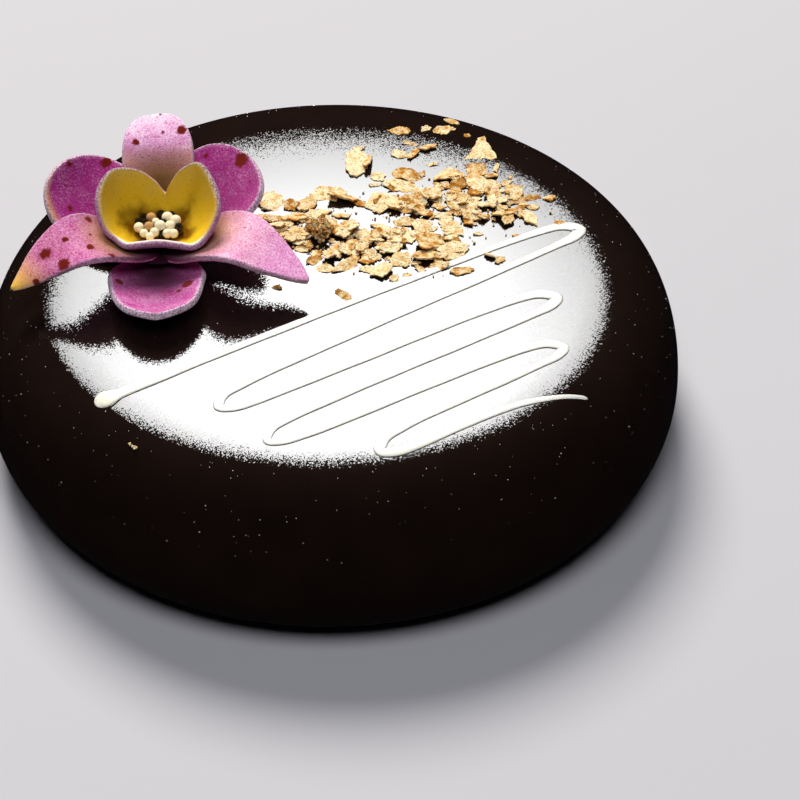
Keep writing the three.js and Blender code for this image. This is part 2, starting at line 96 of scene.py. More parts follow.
# Wafer flakes placed one by one: x, y, half-length, share of width, bearing, lean, toast (0 pale to 1)
FLAKES = [
    (-17.5, 34, 4.4, 0.9, 80, 6, 0.1), (-12, 32, 2.5, 0.8, 0, 20, 0.75),
    (-7.5, 32.5, 3.2, 0.8, 30, 8, 0.2), (-1.5, 38, 6.0, 0.55, 0, 8, 0.2),
    (3.5, 35.5, 6.2, 0.4, -8, 24, 0.5), (7, 53, 7.4, 0.5, 90, 5, 0.0),
    (10.2, 54, 5.6, 0.3, 86, 30, 0.5), (7.5, 60.5, 2.0, 0.5, 10, 10, 0.2),
    (13.5, 46.5, 2.7, 0.75, 10, 6, 0.1), (12.5, 42.5, 2.0, 0.5, 10, 8, 0.1),
    (20, 41.5, 5.0, 0.55, -15, 8, 0.1), (21.5, 47, 4.7, 0.65, -20, 14, 0.6),
    (14.5, 33, 5.9, 0.7, -20, 6, 0.1), (-20, 27, 2.8, 0.6, 0, 12, 0.55),
    (-10.5, 26.5, 4.3, 0.55, 10, 12, 0.55), (-15, 21.5, 2.7, 0.6, -20, 16, 0.5),
    (-3, 29, 3.0, 0.5, 10, 8, 0.2), (3, 27.5, 2.7, 0.5, -10, 10, 0.3),
    (-11, 16.5, 3.8, 0.7, 60, 14, 0.45), (-8, 11.5, 2.3, 0.6, 0, 10, 0.3),
    (3, 19, 2.9, 0.85, 0, 8, 0.55), (9, 18, 2.9, 0.7, -10, 6, 0.2), (5.5, 22.5, 1.8, 0.7, 40, 8, 0.2),
    (2, 11, 3.3, 0.7, 75, 10, 0.25), (5, 12, 2.1, 0.8, 10, 12, 0.35), (8.8, 12, 3.3, 0.6, 70, 12, 0.2),
    (12, 15, 1.7, 0.7, 0, 8, 0.45), (-4.5, 6.5, 2.7, 0.6, 40, 20, 0.65),
    (-1.5, 2.5, 2.9, 0.65, -20, 10, 0.2), (4.5, 3.7, 4.5, 0.42, 35, 18, 0.4),
    (10.5, 2.2, 2.3, 0.7, 20, 8, 0.1), (14.5, 1.7, 3.9, 0.8, 60, 14, 0.15),
    (17, 11, 3.1, 0.8, 0, 8, 0.1), (14.5, 21.5, 3.7, 0.4, -30, 10, 0.3),
    (21, 24, 3.4, 0.6, 10, 14, 0.4), (22.5, 34.5, 2.7, 0.7, 20, 24, 0.65),
    (20, 69.5, 3.7, 0.5, -5, 10, 0.5), (27.5, 70.5, 1.9, 0.6, 30, 14, 0.05),
    (33, 70, 3.6, 0.6, 0, 10, 0.4), (35.5, 75.5, 2.5, 0.45, -25, 8, 0.3),
    (40, 67.5, 1.1, 0.8, 0, 4, 0.6), (48.5, 50.5, 2.1, 0.5, 80, 16, 0.15),
    (23, 63, 2.8, 0.3, -15, 24, 0.35), (19.7, 57.3, 2.7, 0.7, -20, 10, 0.15),
    (24, 58, 3.2, 0.55, 60, 16, 0.6), (28.7, 61.3, 3.3, 0.5, 30, 16, 0.4),
    (29.5, 52.5, 2.1, 0.45, 15, 10, 0.1), (26.5, 47.5, 1.4, 0.7, 50, 20, 0.65),
    (33.7, 46.5, 5.1, 0.75, 10, 10, 0.38), (36.8, 41.8, 2.7, 0.8, 0, 26, 0.85),
    (42.5, 49, 4.1, 0.7, -20, 16, 0.6), (46.5, 46.5, 2.5, 0.7, 30, 16, 0.6),
    (42, 44.3, 3.1, 0.6, -10, 10, 0.2), (45, 41, 5.6, 0.5, 5, 8, 0.12),
    (53, 39, 3.3, 0.7, -20, 12, 0.4), (51, 43, 2.1, 0.6, 20, 12, 0.4), (47, 37, 2.5, 0.7, 10, 10, 0.2),
    (45.5, 38, 1.7, 0.7, 60, 30, 0.65), (38, 35, 4.1, 0.4, -25, 18, 0.4),
    (35.5, 37.3, 2.5, 0.5, 20, 14, 0.55), (43.5, 32, 3.3, 0.5, -15, 14, 0.25),
    (49.5, 34.5, 2.5, 0.7, 15, 10, 0.15), (56, 34.5, 5.3, 0.24, 22, 26, 0.55),
    (29.5, 36.5, 3.3, 0.8, 30, 10, 0.15), (25.3, 32.5, 5.0, 0.5, 75, 22, 0.65),
    (31, 31.3, 2.5, 0.5, -30, 14, 0.3), (36.5, 30.7, 2.9, 0.7, 0, 10, 0.2),
    (34, 28, 2.1, 0.7, 40, 22, 0.6), (32, 26.6, 3.6, 0.35, -20, 16, 0.25),
    (41, 26.7, 4.5, 0.5, 0, 14, 0.32), (50, 27.6, 4.5, 0.6, 15, 20, 0.6),
    (51, 24.3, 2.7, 0.7, 60, 10, 0.2), (57.5, 26.2, 3.7, 0.6, -60, 10, 0.1),
    (58.5, 31, 1.9, 0.6, 0, 12, 0.3), (56, 32.3, 1.8, 0.5, 10, 12, 0.45),
    (34.3, 21.5, 4.7, 0.6, -45, 10, 0.15), (26, 22, 3.6, 0.8, 30, 10, 0.2),
    (22, 16.5, 3.3, 0.8, 0, 5, 0.0), (28.3, 14, 5.5, 0.7, 60, 14, 0.48),
    (27, 7.5, 4.3, 0.8, 20, 14, 0.42), (35.3, 9.7, 5.1, 0.7, 50, 10, 0.1),
    (20, 6.2, 3.5, 0.75, 30, 12, 0.3), (25.5, 1.7, 2.5, 0.4, -50, 16, 0.5),
    (31, 3.2, 2.9, 0.5, 10, 14, 0.5), (37.5, 1.2, 3.5, 0.5, 10, 10, 0.6),
    (18, -2, 1.9, 0.7, 40, 10, 0.25), (21.8, -0.5, 1.3, 0.6, 0, 8, 0.3),
    (46, 8, 2.3, 0.6, -30, 30, 0.2), (48.2, 6.2, 1.9, 0.7, 60, 12, 0.25),
    (42.3, 18.5, 1.6, 0.5, 0, 8, 0.1), (53.3, 17.5, 1.4, 0.6, -30, 8, 0.35),
    (66, 23.7, 1.7, 0.7, 0, 10, 0.75), (63.5, 35.5, 2.1, 0.8, 20, 10, 0.45),
    (52.5, 46, 1.0, 0.6, 70, 12, 0.6), (-15, -6, 1.7, 0.6, -10, 10, 0.35),
    (3.8, -9.7, 3.1, 0.4, -45, 30, 0.55),
]
TRIANGLE_FLAKE = [(39, 55.2), (49, 55.2), (46.3, 62.5), (45.2, 65.8), (43.6, 65), (42.2, 61.5)]
TRIANGLE_FLAKE_TURN = (6, 0, 0)
TRIANGLE_FLAKE_TOAST = 0.25
# Patches of small flakes: middle, half-sizes, bearing, number; toast as mean and spread
SMALL_FLAKE_PATCHES = [
    ((-10, 24), (9, 9), 60, 26), ((3, 15), (14, 9), -20, 50), ((23, 12), (15, 9), -10, 44),
    ((20, 35), (14, 8), 10, 20), ((43, 36), (15, 9), -30, 50), ((31, 26), (12, 8), 0, 22),
]
SMALL_FLAKE_HALF_LENGTH = (0.9, 3.0)
SMALL_FLAKE_SLENDER = (0.5, 0.95)
SMALL_FLAKE_LEAN = 12
SMALL_FLAKE_TOAST = (0.35, 0.28)
SMALL_FLAKE_MOST_TOAST = 0.9
SMALL_FLAKE_LATE_SHARE = 0.25
# Porous clump of tiny flakes, a patch like those
FLAKE_CLUMP = ((-3.7, 19.3), (4.0, 4.2), 0, 110)
CLUMP_HALF_LENGTH = (0.6, 1.2)
CLUMP_SLENDER = 0.9
CLUMP_LEAN = 70
CLUMP_TOAST = (0.4, 0.75)
CLUMP_CONTACT = 0.3
# All flakes: odds of the two ways to lean, share of a flake that rests on others, shape and edges
FLAKE_SEED = 23
FLAKE_GROWTH = 1.12
FLAKE_SIDE_LEAN = 0.35
FLAKE_LEAN_ODDS = (0.3, 0.7)
FLAKE_CONTACT = 0.2
FLAKE_CORNERS = (5, 8)
FLAKE_CORNER_SHIFT = 0.32
FLAKE_REACH = (0.78, 1.05)
FLAKE_THICKNESS = (0.32, 0.6)
FLAKE_THINNEST = 0.45
FLAKE_THICK_SIZE = 6
FLAKE_CURL = 0.09
FLAKE_EDGE_STEPS = 5
FLAKE_EDGE_NOISE = (0.045, 0.13)
FLAKE_FACE_NOISE = 0.03
# Blisters and ruffles: height, waves along X and Y in radians to a mm
FLAKE_RELIEF = [(0.1, 1.3, 1.5), (0.03, 3.3, 3.1)]
# Rings of a flake from its underside to its face: share of the outline, side, how toasted the edge is
FLAKE_RINGS = [(0.6, -1, 0.2), (1.0, -0.9, 1.0), (1.0, 0.85, 1.0), (0.95, 1, 0.4), (0.5, 1, 0.1)]
# Map of the heap's level
FLAKE_MAP_STEP = 0.4
FLAKE_MAP_ORIGIN = (-40.0, -25.0)
FLAKE_MAP_SIZE = (300, 275)
FLAKE_MAP_RINGS = 6
# Crumbs and sugar grains: spread in shares of a patch, lift in shares of the radius, and every
# fourth sugar grain on the flat top instead of the shoulder
GRAIN_REACH = (0.6, 1.15)
CRUMB_COUNT = 240
CRUMB_RADIUS = (0.25, 0.75)
CRUMB_SHRINK = (0.5, 1)
CRUMB_SPREAD = (0.65, 0.75)
CRUMB_LIFT = 0.6
CRUMB_TOAST = (0.1, 0.8)
STRAY_CRUMBS = [(-52.3, -69.8, 0.75), (-50.9, -71.2, 0.8), (-51.6, -70.6, 0.6)]
STRAY_CRUMB_LIFT = 0.4
DUST_SEED = 31
DUST_COUNT = 450
DUST_ON_TOP_EVERY = 4
DUST_LOWEST_LEAN = 68
DUST_RADIUS = (0.09, 0.22)

# Flower: two three-lobed sheets, one over the other, a three-lobed cup and a heap of sugar pearls
FLOWER_AT = (-48.5, 6.0, 52.0)
SHEET_THICKNESS = 2.0
HUB_RADIUS = 3.0
PETAL_LEVEL = 3.6
# Hidden foot under the petals as (radius, height)
PETAL_FOOT = [(0, 0.3), (8.6, 0.3), (9, 0.6), (8.4, 1.4), (5.4, 5.2), (5, 5.6), (0, 5.6)]
SEPAL_LEVEL = 7.2
SEPAL_HUB_RADIUS = 6.6
SEPAL_HUB_STRETCH = 1.2
SEPAL_HUB_SHIFT = -2.0
SEPAL_BOSS_RADIUS = 4.5
SEPAL_BOSS_GAP = 0.3
HUB_SIDES = 48
LOBE_SIDES = 220
LOBE_RINGS = 22
LOBE_OUTLINE_STEPS = 400
RIM_STEPS = 8
LOBE_CORNER = 0.5
LOBE_MIDDLE = 0.45
# Depth that stands for far behind any rim
LOBE_DEEP = 99.0
LOBE_LEAST_INSET = 0.05
LOBE_SEED = 41
LOBE_ROUGHNESS = 0.06
LOBE_ROUGH_REACH = 0.6
LOBE_WAVE = 0.14
LOBE_WAVE_LENGTHS = (3.1, 4.3, 2.7, 6.1)
SPINE_STEPS = 400
# Airbrushing: how the blush fades to the sides near the hub, where an edge is blushed, the dry bloom
# along the rim in mm, the shares along the lobe over which it sets in (none near the hub: painted
# shade), and the least strength of a spot
UNDERSIDE_PALE = 0.45
BLUSH_STRENGTH = 0.9
BLUSH_SIDE_FADE = 0.7
BLUSH_SIDE_FADE_END = 0.6
EDGE_BLUSH_ACROSS = (0.75, 1.0)
EDGE_BLUSH_ALONG = (0.5, 0.8)
RIM_BLOOM_FULL = 0.2
RIM_BLOOM_FADE = 0.25
RIM_BLOOM_ALONG = (0.12, 0.4)
SPOT_LEAST = 0.6

# Each lobe: bearing and rise of its spine, cupping and roll of its cross-section, in degrees at even
# steps from hub to tip; how frosted its rim is; its size and outline; how pale and blushed it is and
# how much painted shade it takes for the shade under the cup, from hub to tip; any blush along one
# edge; the share of the painted shade left at its sides; and its spots as (share along, share across,
# radius in mm, depth of colour)
PETALS = [
    {"bearing": (131, 149), "rise": (-4, 6, 28, 61), "cupping": (17, 32, 0), "roll": (0, -23, -20),
     "frost": 0.8, "length": 40.1, "width": 28.7, "base": 0.45, "widest": 0.54, "roundness": 2.2,
     "pale": (0.0, 0.0, 0.1, 0.05, 0.15), "blush": (0.3, 0.0, 0.0, 0.0, 0.0), "edge_blush": 0.8,
     "throat": (1.0, 0.7, 0.48, 0.34, 0.16), "painted_shade_edge": 0.5,
     "spots": [(0.97, -0.26, 1.5, 0.35), (0.8, -0.86, 1.8, 0.9), (0.7, 0.5, 1.1, 0.5),
               (0.62, 0.1, 0.7, 0.4), (0.85, 0.3, 0.6, 0.5)]},
    {"bearing": (51, 31), "rise": (3, 22, 35, 44), "cupping": (14, 38, 14), "roll": (3, 5),
     "frost": 0.7, "length": 36.4, "width": 32.4, "base": 0.46, "widest": 0.62, "roundness": 2.3,
     "pale": (0.05, 0.05, 0.08, 0.08, 0.12), "blush": (0.3, 0.0, 0.0, 0.0, 0.0),
     "throat": (1.0, 0.7, 0.55, 0.42, 0.25), "painted_shade_edge": 0.6,
     "spots": [(0.94, 0.14, 2.2, 1.0), (0.78, 0.76, 0.9, 0.5), (0.86, -0.5, 0.6, 0.5),
               (0.66, 0.2, 0.5, 0.4)]},
    {"bearing": (-90, -86), "rise": (-8, 4, 9, 31), "cupping": (16, 32, 14), "roll": (1, -1),
     "frost": 0.9, "length": 32.3, "width": 28.0, "base": 0.5, "widest": 0.35, "roundness": 2.1,
     "pale": (0.1, 0.2, 0.3, 0.32, 0.35), "blush": (0.0, 0.0, 0.0, 0.0, 0.0),
     "throat": (1.0, 1.0, 0.75, 0.2, 0.0), "painted_shade_edge": 0.0,
     "spots": [(0.48, 0.68, 1.7, 1.0), (0.45, -0.8, 1.3, 0.9), (0.55, 0.5, 0.9, 0.7),
               (0.8, -0.1, 0.4, 0.4)]},
]
SEPALS = [
    {"bearing": (90, 98), "rise": (2, 18, 48, 55, 30, 16), "cupping": (14, 19, 10), "roll": (0, -3),
     "frost": 0.5, "length": 38.3, "width": 20.7, "base": 0.6, "widest": 0.59, "roundness": 2.6,
     "pale": (0.0, 0.1, 0.4, 0.85, 1.4), "blush": (1.0, 1.0, 1.0, 0.0, 0.0),
     "throat": (1.0, 1.0, 0.82, 0.08, 0.0), "painted_shade_edge": 0.1,
     "spots": [(0.83, -0.8, 1.4, 0.9), (0.83, -0.2, 0.6, 0.9), (0.77, 0.64, 1.1, 0.8),
               (0.99, -0.5, 0.6, 0.5), (0.7, -0.5, 0.3, 0.5)]},
    {"bearing": (208, 210), "rise": (7, 35, 24, -14, -32, -30), "cupping": (14, 16, -37),
     "roll": (3, -14, -19), "frost": 0.35,
     "length": 46.3, "width": 19.0, "base": 0.74, "widest": 0.42, "roundness": 1.3,
     "pale": (0.1, 0.2, 0.42, 0.25, 0.25), "blush": (0.0, 0.9, 0.1, 0.1, 1.15),
     "throat": (1.0, 0.7, 0.05, 0.0, 0.0), "painted_shade_edge": 1.0,
     "spots": [(0.71, -0.18, 1.7, 0.85), (0.66, 0.72, 1.8, 0.9), (0.46, 0.38, 1.2, 0.8),
               (0.39, -0.78, 1.2, 0.7), (0.57, -0.2, 1.0, 0.7), (0.86, 0.85, 1.1, 0.8),
               (0.42, -0.15, 0.7, 0.5), (0.37, 0.9, 1.0, 0.7)]},
    {"bearing": (-17, -28), "rise": (1, 31, 20, -21, -24, -24), "cupping": (21, -6), "roll": (7, 3),
     "frost": 0.4, "length": 46.2, "width": 20.5, "base": 0.7, "widest": 0.48, "roundness": 1.3,
     "pale": (0.2, 0.4, 0.9, 0.75, 0.7), "blush": (0.0, 1.0, 0.2, 0.0, 0.0),
     "throat": (1.0, 0.65, 0.04, 0.0, 0.0), "painted_shade_edge": 1.0,
     "spots": [(0.5, 0.4, 0.4, 0.3), (0.7, -0.3, 0.3, 0.3)]},
]

# Cup: its rim as (bearing, radius, height over the cake), two high lobes behind and a low lip in front
CUP_RIM = [
    (80, 11, 17), (95, 12, 20.8), (116, 13.3, 25.2), (147, 15.5, 28.2), (183, 16.4, 25.7),
    (208, 16.2, 18.6), (221, 14.5, 15.8), (232, 13.6, 14.8), (246, 11.5, 15), (275, 10.1, 15.3),
    (302, 12.6, 14.9), (314, 15.7, 14.8), (324, 17.7, 17.2), (345, 18.5, 23.7), (14, 16.2, 28.2),
    (41, 15.4, 29.7), (60, 12.8, 25.9), (71, 11.4, 21.4),
]
CUP_THICKNESS = 1.5
CUP_FLOOR_LEVEL = 11.4
CUP_FLOOR_RADIUS = 5.5
CUP_FLOOR_SHARE = 0.25
CUP_BULGE = 0.8
CUP_SIDES = 216
CUP_RINGS = 40
# Length of the wall, which ends half a thickness short of the rim
CUP_WALL_LENGTH = 14
CUP_SLOPE_STEP = 0.02
CUP_LIP_BEARINGS = (222, 320)
CUP_LIP_EASE = (12, 4)
CUP_RIM_SWELL = 0.5
CUP_SWELL_START = 0.55
CUP_LEAST_SWELL = 0.1
CUP_THICK_SIDES = (183, 5)
CUP_THICK_REACH = 40.0
# Where mauve turns over the rim, how dry the rim is, and the bloom and cream of the lip by height
CUP_MAUVE_EDGE = (0.7, -0.1)
CUP_DRY_LOW = 0.4
CUP_DRY_MORE = 0.45
CUP_DRY_LEVELS = (0.4, 0.9)
CUP_LIP_MOIST = 0.8
CUP_FRONT_BLOOM = 0.6
CUP_FRONT_SHARES = (0.6, 0.85)
CUP_LIP_SHARES = (0.72, 0.92)

# Pearls: (x, y, height over the cup's floor, radius, tone), tone 0 cream, 1 tan, 2 dark; the dark
# beads sit in the gaps, partly dark pearls and partly painted shade between the pearls
PEARLS = [
    (-2, 2.8, 1.6, 1.48, 1), (-0.6, 1.0, 1.4, 1.18, 0), (2.6, 2.6, 1.8, 1.63, 0), (5.0, 1.2, 1.8, 1.58, 0),
    (3.6, -1.6, 2.0, 1.53, 0), (-5.2, -1.8, 1.6, 1.48, 0), (-2.3, -2.2, 2.3, 1.38, 1),
    (0.9, -2.8, 2.9, 1.63, 0), (-0.6, -4.6, 2.0, 1.38, 0), (-3.6, -4.4, 1.5, 1.28, 0),
    (-1.8, -6.0, 1.5, 1.28, 0), (3.0, -4.9, 1.8, 1.38, 0), (4.7, -4.6, 1.5, 1.38, 0),
    (-5.4, 1.2, 1.4, 1.23, 2), (0.6, 4.6, 1.5, 1.28, 2), (-3.6, 0.6, 1.4, 1.28, 2),
    (1.6, 0.2, 1.4, 1.38, 2), (6.0, -1.6, 1.5, 1.28, 2), (0.4, -1.0, 1.4, 1.38, 2),
    (-3.0, -0.6, 1.2, 1.28, 2), (1.6, -4.2, 1.3, 1.28, 2), (-4.2, 3.6, 1.4, 1.08, 2),
    (3.6, 4.2, 1.4, 1.18, 2), (6.2, -3.4, 1.4, 1.08, 2),
]
PEARL_GAP = 0.1
PEARL_STEPS = 12
PEARL_SIDES = 24

# Lights: azimuth from +Y towards +X, elevation, distance and size in metres, radiance, colour
MIRRORED_LIGHT = (-3.4, 49.3, 0.1, (0.2012, 0.1284), 24.0, "#ffffff")
MAIN_SOFTBOX = (-14, 52, 2.2, (1.0, 1.0), 28.0, "#fffaf4")
TOP_FILL = (180, 68, 2.2, (1.2, 1.2), 7.2, "#f8f8ff")
# Fading of the mirrored light: middle and squeeze in shares of its size, where the fading starts and
# ends, and the brightness left there
MIRRORED_FADE = ((0.5, 0.6, 0.0), (1.2, 1.0, 0.0), 0.3, 0.62, 0.45)
FLOOR_REACH = 4.0

# Camera as fitted to the outline of the cake
CAMERA_ELEVATION = 40.5
CAMERA_DISTANCE = 888.5
CAMERA_TARGET = (19.56, 6.02, 0.0)
CAMERA_ROLL = -0.27
CAMERA_LENS = 135.0
CAMERA_SENSOR = 36.0


# Small tools

def linear(hex_colour):
    """Linear RGBA of an sRGB hex colour."""
    parts = [int(hex_colour[k:k + 2], 16) / 255 for k in (1, 3, 5)]
    return [c / 12.92 if c <= 0.04045 else ((c + 0.055) / 1.055) ** 2.4 for c in parts] + [1.0]


def add(tree, kind, inputs=None, **settings):
    """Node of a kind with its settings; inputs take a value, a hex colour, another node's output, or
    another node, which stands for its first output in use."""
    made = tree.nodes.new(kind)
    for name, value in settings.items():
        setattr(made, name, value)
    for key, value in (inputs or {}).items():
        if isinstance(value, bpy.types.Node):
            value = next(output for output in value.outputs if output.enabled)
        if isinstance(value, bpy.types.NodeSocket):
            tree.links.new(value, made.inputs[key])
        else:
            made.inputs[key].default_value = linear(value) if isinstance(value, str) else value
    return made


def keyed(keys, share):
    """Values at shares of the way along keys that stand at even steps."""
    return np.interp(share, np.linspace(0, 1, len(keys)), keys)


def smooth(low, high, value):
    """Smooth step from 0 at low to 1 at high."""
    t = np.clip((value - low) / (high - low), 0, 1)
    return t * t * (3 - 2 * t)


def unit(vectors):
    return vectors / np.linalg.norm(vectors, axis=-1, keepdims=True)


def lengths_along(line):
    """Distance along a line of points to each of them."""
    return np.concatenate([[0], np.cumsum(np.linalg.norm(np.diff(line, axis=0), axis=1))])


def spline(points, steps, closed=False):
    """Centripetal Catmull-Rom curve through points, each span in a number of steps."""
    p = np.asarray(points, float)
    if closed:
        p = np.concatenate([p[-1:], p, p[:2]])
    else:
        p = np.concatenate([[2 * p[0] - p[1]], p, [2 * p[-1] - p[-2]]])
    gaps = np.sqrt(np.linalg.norm(np.diff(p, axis=0), axis=1))
    t = (np.arange(steps) / steps)[:, None]
    spans = []
    for k in range(1, len(p) - 2):
        p0, p1, p2, p3 = p[k - 1:k + 3]
        d0, d1, d2 = gaps[k - 1:k + 2]
        m1 = d1 * ((p1 - p0) / d0 - (p2 - p0) / (d0 + d1) + (p2 - p1) / d1)
        m2 = d1 * ((p2 - p1) / d1 - (p3 - p1) / (d1 + d2) + (p3 - p2) / d2)
        cubic = 2 * p1 - 2 * p2 + m1 + m2
        square = 3 * p2 - 3 * p1 - 2 * m1 - m2
        spans.append(p1 + m1 * t + square * t ** 2 + cubic * t ** 3)
    if not closed:
        spans.append(p[-2:-1])
    return np.concatenate(spans)


def ring_faces(rings, columns):
    """Quads between closed rings of points, row after row."""
    i, j = np.meshgrid(np.arange(rings - 1), np.arange(columns), indexing="ij")
    a = i * columns + j
    b = i * columns + (j + 1) % columns
    return np.stack([a, b, b + columns, a + columns], -1).reshape(-1, 4).tolist()


def fan_faces(centre, ring_start, columns, flipped=False):
    """Triangles from one point to a closed ring."""
    around = [(ring_start + j, ring_start + (j + 1) % columns) for j in range(columns)]
    return [(centre, b, a) if flipped else (centre, a, b) for a, b in around]


def capped(rings, bottom, top):
    """Points and faces of closed rings stacked upwards between two end points."""
    rings = np.asarray(rings, float)
    rows, columns = rings.shape[:2]
    points = np.concatenate([rings.reshape(-1, 3), [bottom], [top]])
    last = rows * columns
    faces = ring_faces(rows, columns)
    faces += fan_faces(last, 0, columns, flipped=True)
    faces += fan_faces(last + 1, last - columns, columns)
    return points, faces


def turned(profile, sides):
    """Body turned about Z from (radius, height) pairs, first and last on the axis."""
    angles = np.linspace(0, 2 * math.pi, sides, endpoint=False)
    around = np.stack([np.cos(angles), np.sin(angles)], -1)
    rings = [np.column_stack([around * r, np.full(sides, z)]) for r, z in profile[1:-1]]
    return capped(rings, (0, 0, profile[0][1]), (0, 0, profile[-1][1]))


def merged(shapes):
    """One shape out of several (points, faces, attributes)."""
    points, faces, attributes, count = [], [], {}, 0
    for p, f, a in shapes:
        points.append(p)
        faces += [[k + count for k in face] for face in f]
        for name, values in a.items():
            attributes.setdefault(name, []).append(values)
        count += len(p)
    return np.concatenate(points), faces, {k: np.concatenate(v) for k, v in attributes.items()}


def piece(name, shape, material, node, at=(0, 0, 0), flat=False):
    """Mesh object in metres that rides on the cake and stands for a node of the frame."""
    points, faces, attributes = shape
    mesh = bpy.data.meshes.new(name)
    mesh.from_pydata(((points + np.array(at)) * MM).tolist(), [], faces)
    for key, values in attributes.items():
        layer = mesh.attributes.new(key, "FLOAT", "POINT")
        layer.data.foreach_set("value", np.asarray(values, np.float32))
    mesh.polygons.foreach_set("use_smooth", [not flat] * len(mesh.polygons))
    mesh.validate()
    mesh.materials.append(material)
    made = bpy.data.objects.new(name, mesh)
    bpy.context.scene.collection.objects.link(made)
    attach(made, "root")
    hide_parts(node)
    return made


def cleared(owner):
    """Empty node tree of a material, light or world."""
    owner.use_nodes = True
    owner.node_tree.nodes.clear()
    return owner.node_tree


def new_material(name, surface, *attributes):
    """Material whose surface function gets the tree and the mesh attributes that it reads."""
    material = bpy.data.materials.new(name)
    tree = cleared(material)
    marks = [add(tree, "ShaderNodeAttribute", attribute_name=key).outputs["Fac"] for key in attributes]
    add(tree, "ShaderNodeOutputMaterial", {"Surface": surface(tree, *marks)})
    return material


# Materials

def mirror_glaze(tree):
    """Dark chocolate mirror glaze, poured over the frozen cake: near-black brown, wet gloss, with a
    fine orange peel that breaks up the edges of reflections."""
    place = add(tree, "ShaderNodeTexCoord").outputs["Object"]
    # Slow waves of about 14 mm left by the pouring
    waves = add(tree, "ShaderNodeTexNoise", {"Vector": place, "Scale": 1 / (14 * MM), "Detail": 1.0})
    low = add(tree, "ShaderNodeBump", {"Strength": 1.0, "Distance": 0.05 * MM, "Height": waves})
    # Orange peel in dimples about 0.28 mm across, most of them nearly level and a few tilted by up to
    # about five degrees
    dimple = add(tree, "ShaderNodeTexVoronoi", {"Vector": place, "Scale": 1 / (0.28 * MM)})
    lean = add(tree, "ShaderNodeVectorMath", {0: dimple.outputs["Color"], 1: (0.5, 0.5, 0.5)},
               operation="SUBTRACT")
    amount = add(tree, "ShaderNodeVectorMath", {0: lean}, operation="LENGTH")
    sharp = add(tree, "ShaderNodeVectorMath", {0: lean, "Scale": amount}, operation="SCALE")
    tilt = add(tree, "ShaderNodeVectorMath", {0: sharp, 1: (GLAZE_TILT, GLAZE_TILT, GLAZE_TILT), 2: low},
               operation="MULTIPLY_ADD")
    facing = add(tree, "ShaderNodeVectorMath", {0: tilt}, operation="NORMALIZE")
    # Cocoa shows through unevenly, in cloudy patches of about 12 mm
    cloud = add(tree, "ShaderNodeTexNoise", {"Vector": place, "Scale": 1 / (12 * MM), "Detail": 3.0})
    colour = add(tree, "ShaderNodeMix", {0: cloud, 6: "#120b09", 7: "#1c120e"}, data_type="RGBA")
    return add(tree, "ShaderNodeBsdfPrincipled", {
        "Base Color": colour, "Roughness": 0.05, "IOR": 1.43, "Normal": facing})


def white_chocolate(tree):
    """White chocolate drizzle, piped warm: ivory and smooth, satin as its fat sets, translucent."""
    place = add(tree, "ShaderNodeTexCoord").outputs["Object"]
    # Fat bloom in streaks of about 3 mm
    bloom = add(tree, "ShaderNodeTexNoise", {"Vector": place, "Scale": 1 / (3 * MM), "Detail": 3.0})
    colour = add(tree, "ShaderNodeMix", {0: bloom, 6: "#efe8cc", 7: "#fbf6e4"}, data_type="RGBA")
    return add(tree, "ShaderNodeBsdfPrincipled", {
        "Base Color": colour, "Roughness": 0.22, "Specular IOR Level": 0.12, "IOR": 1.46,
        "Subsurface Weight": 1.0, "Subsurface Radius": (1.0, 0.9, 0.7), "Subsurface Scale": 2.0 * MM})


def crepe_wafer(tree, toast, edge):
    """Baked lace wafer, crushed: pale cream faces, golden to toasted along edges and in spots, dry
    and porous."""
    place = add(tree, "ShaderNodeTexCoord").outputs["Object"]
    # Toasted blotches of about 2 mm and pores of about 0.6 mm
    blotch = add(tree, "ShaderNodeTexNoise", {"Vector": place, "Scale": 1 / (2 * MM), "Detail": 4.0})
    pores = add(tree, "ShaderNodeTexNoise", {"Vector": place, "Scale": 1 / (0.6 * MM), "Detail": 3.0})
    spread = add(tree, "ShaderNodeMapRange", {0: blotch, 1: 0.35, 2: 0.65, 3: -0.45, 4: 0.45})
    face = add(tree, "ShaderNodeMath", {0: toast, 1: spread}, operation="ADD")
    baked = add(tree, "ShaderNodeMath", {0: edge, 1: 0.22, 2: face}, operation="MULTIPLY_ADD",
                use_clamp=True)
    dark = add(tree, "ShaderNodeMapRange", {0: baked, 1: 0.65, 2: 1.0, 4: 0.85})
    holes = add(tree, "ShaderNodeMapRange", {0: pores, 1: 0.37, 2: 0.46, 3: 0.65, 4: 0.0})
    # Cream baked to gold, gold to brown, and brown pores over both
    colour = "#f0e2b8"
    for share, over in ((baked, "#d29c42"), (dark, "#a86826"), (holes, "#a06a30")):
        colour = add(tree, "ShaderNodeMix", {0: share, 6: colour, 7: over}, data_type="RGBA")
    bump = add(tree, "ShaderNodeBump", {"Strength": 1.0, "Distance": 0.4 * MM, "Height": pores})
    return add(tree, "ShaderNodeBsdfPrincipled", {
        "Base Color": colour, "Roughness": 0.7, "IOR": 1.45, "Normal": bump,
        "Subsurface Weight": 0.15, "Subsurface Radius": (1.0, 0.6, 0.25), "Subsurface Scale": 0.4 * MM})


def caster_sugar(tree):
    """Fine caster sugar, stray grains: white crystals whose flat sides glint."""
    place = add(tree, "ShaderNodeTexCoord").outputs["Object"]
    # Some grains are greyer: patches of about 3 mm
    dulled = add(tree, "ShaderNodeTexNoise", {"Vector": place, "Scale": 1 / (3 * MM), "Detail": 1.0})
    colour = add(tree, "ShaderNodeMix", {0: dulled, 6: "#dad6d2", 7: "#ffffff"}, data_type="RGBA")
    return add(tree, "ShaderNodeBsdfPrincipled", {"Base Color": colour, "Roughness": 0.2, "IOR": 1.54})


